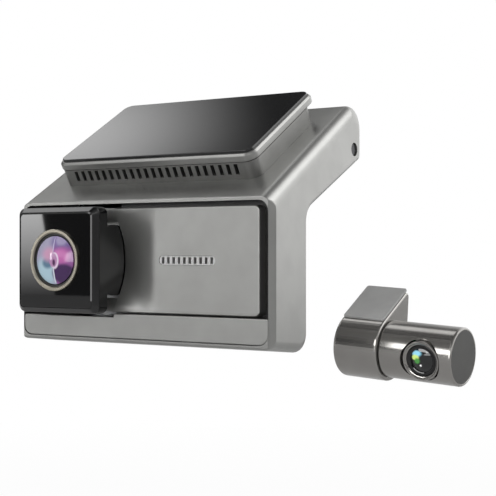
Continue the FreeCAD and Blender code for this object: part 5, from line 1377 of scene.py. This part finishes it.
# Each box: its power, then its sides. A side is a direction, with the cosines where light starts and is full.
SOFT_BOXES = (
    # a band high at the back left, for the gloss plate
    (2.3, (PLATE_WAY, -0.09, 0.09), (PLATE_ACROSS, -0.03, 0.01), (PLATE_ACROSS, 0.08, 0.045),
     (toward(55, 40), 0.9, 0.95)),
    # a broad box to the front left, for the panel
    (0.65, (toward(140, 4), 0.55, 0.97)),
    # a low band to the front left
    (1.1, (ABOVE, 0.045, 0.09), (ABOVE, 0.30, 0.16), (toward(157, 8), 0.90, 0.96)),
    # a box high to the front left, and one straight in front
    (2.8, (toward(151, 36), 0.955, 0.985)),
    (4.0, (toward(181, 0), 0.95, 0.985)),
    # two small boxes high on the left, for the slope
    (1.8, (toward(53.6, 61.7), 0.976, 0.993)),
    (2.2, (toward(84, 47), 0.978, 0.993)),
    # a broad box behind on the right for the flank, and one above it for the round edge over the flank
    (1.7, (toward(-29, 17), 0.45, 0.97)),
    (2.4, (toward(-52, 52), 0.93, 0.985)),
    # a dim broad box on the right
    (0.5, (toward(-110, 35), 0.55, 0.98)),
    # a black card to the front left
    (-0.6, (toward(139.5, -0.5), 0.9925, 0.9985)),
    # a strip with one sharp side to the front left, for the pod's glass
    (9.0, (GLASS_EDGE, 0.0, 0.0015), (GLASS_EDGE, 0.09, 0.05), (ABOVE, -0.055, 0.055), (ABOVE, 0.2, 0.1),
     (toward(138, 0), 0.6, 0.8)),
)

sky = Sky()
sky.add(ROOM)
for power, *sides in SOFT_BOXES:
    sky.add_box(power, *sides)
sky.finish()


FLOOR_Z = -140.0
FLOOR_HALF = 2500.0
FLOOR_NEAR, FLOOR_FAR = 0.05, 0.6       # metres from the frame's zero
WHITE_NEAR, WHITE_FAR = 0.88, 1.0       # share of plain white that the camera sees on the floor
# Each lamp: its name, where it stands, what it faces, its width, its height and its watts.
LAMPS = (
    ("Softbox_Front_Right", (330, -560, 300), (10, 30, 0), 300, 300, 0.4),
    ("Softbox_Right", (520, 160, 220), (10, 30, 0), 300, 300, 0.45),
    ("Strip_For_Barrel", (50, 45, -17), (75, 90, -33), 60, 15, 0.02),
)


def add_softbox(name, centre, target, wide, high, watts):
    """A flat lamp that faces a place on the object."""
    lamp = bpy.data.lights.new(name, "AREA")
    lamp.shape = "RECTANGLE"
    lamp.size, lamp.size_y = wide * MM, high * MM
    lamp.energy = watts
    piece = bpy.data.objects.new(name, lamp)
    bpy.context.scene.collection.objects.link(piece)
    piece.location = centre
    piece.rotation_euler = (target - centre).to_track_quat("-Z", "Y").to_euler()


def build_floor():
    """A wide pale floor with a faint grain. It keeps a soft shadow near the object and is white far away."""
    material, tree, main = new_material("pale_studio_floor", Roughness=0.9)
    place = add_node(tree, "ShaderNodeTexCoord")
    two_tone(tree, main, place, "c9c9c9", "cecece", 300.0)
    path = add_node(tree, "ShaderNodeLightPath")
    reach = add_node(tree, "ShaderNodeVectorMath", {"operation": "LENGTH"}, {0: place.outputs["Object"]})
    share = add_node(tree, "ShaderNodeMapRange", {},
                     {"Value": reach.outputs["Value"], "From Min": FLOOR_NEAR, "From Max": FLOOR_FAR,
                      "To Min": WHITE_NEAR, "To Max": WHITE_FAR})
    seen = add_node(tree, "ShaderNodeMath", {"operation": "MULTIPLY"}, {0: path.outputs["Is Camera Ray"],
                                                                       1: share.outputs["Result"]})
    glow = add_node(tree, "ShaderNodeEmission", {}, {"Color": (1, 1, 1, 1), "Strength": 1.0})
    mix = add_node(tree, "ShaderNodeMixShader", {}, {"Fac": seen.outputs["Value"], 1: main.outputs["BSDF"],
                                                     2: glow.outputs["Emission"]})
    tree.links.new(mix.outputs["Shader"], tree.nodes["Material Output"].inputs["Surface"])
    bm = bmesh.new()
    corners = [spot(x * FLOOR_HALF, y * FLOOR_HALF, FLOOR_Z) for x, y in ((-1, -1), (1, -1), (1, 1), (-1, 1))]
    bm.faces.new([bm.verts.new(corner) for corner in corners])
    mesh = bpy.data.meshes.new("Studio_Floor")
    bm.to_mesh(mesh)
    bm.free()
    floor = bpy.data.objects.new("Studio_Floor", mesh)
    mesh.materials.append(material)
    bpy.context.scene.collection.objects.link(floor)
    floor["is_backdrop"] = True


build_floor()
for name, stand, faces, wide, high, watts in LAMPS:
    add_softbox(name, spot(*stand), spot(*faces), wide, high, watts)
scene = bpy.context.scene
scene.view_settings.view_transform = "Standard"

# %% [markdown]
# Last, the box round everything shown now is worked out. It has to stay inside the box of the construction as
# it was loaded, or the looks would claim room that the construction doesn't have.

# %% Sizes
low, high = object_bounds()
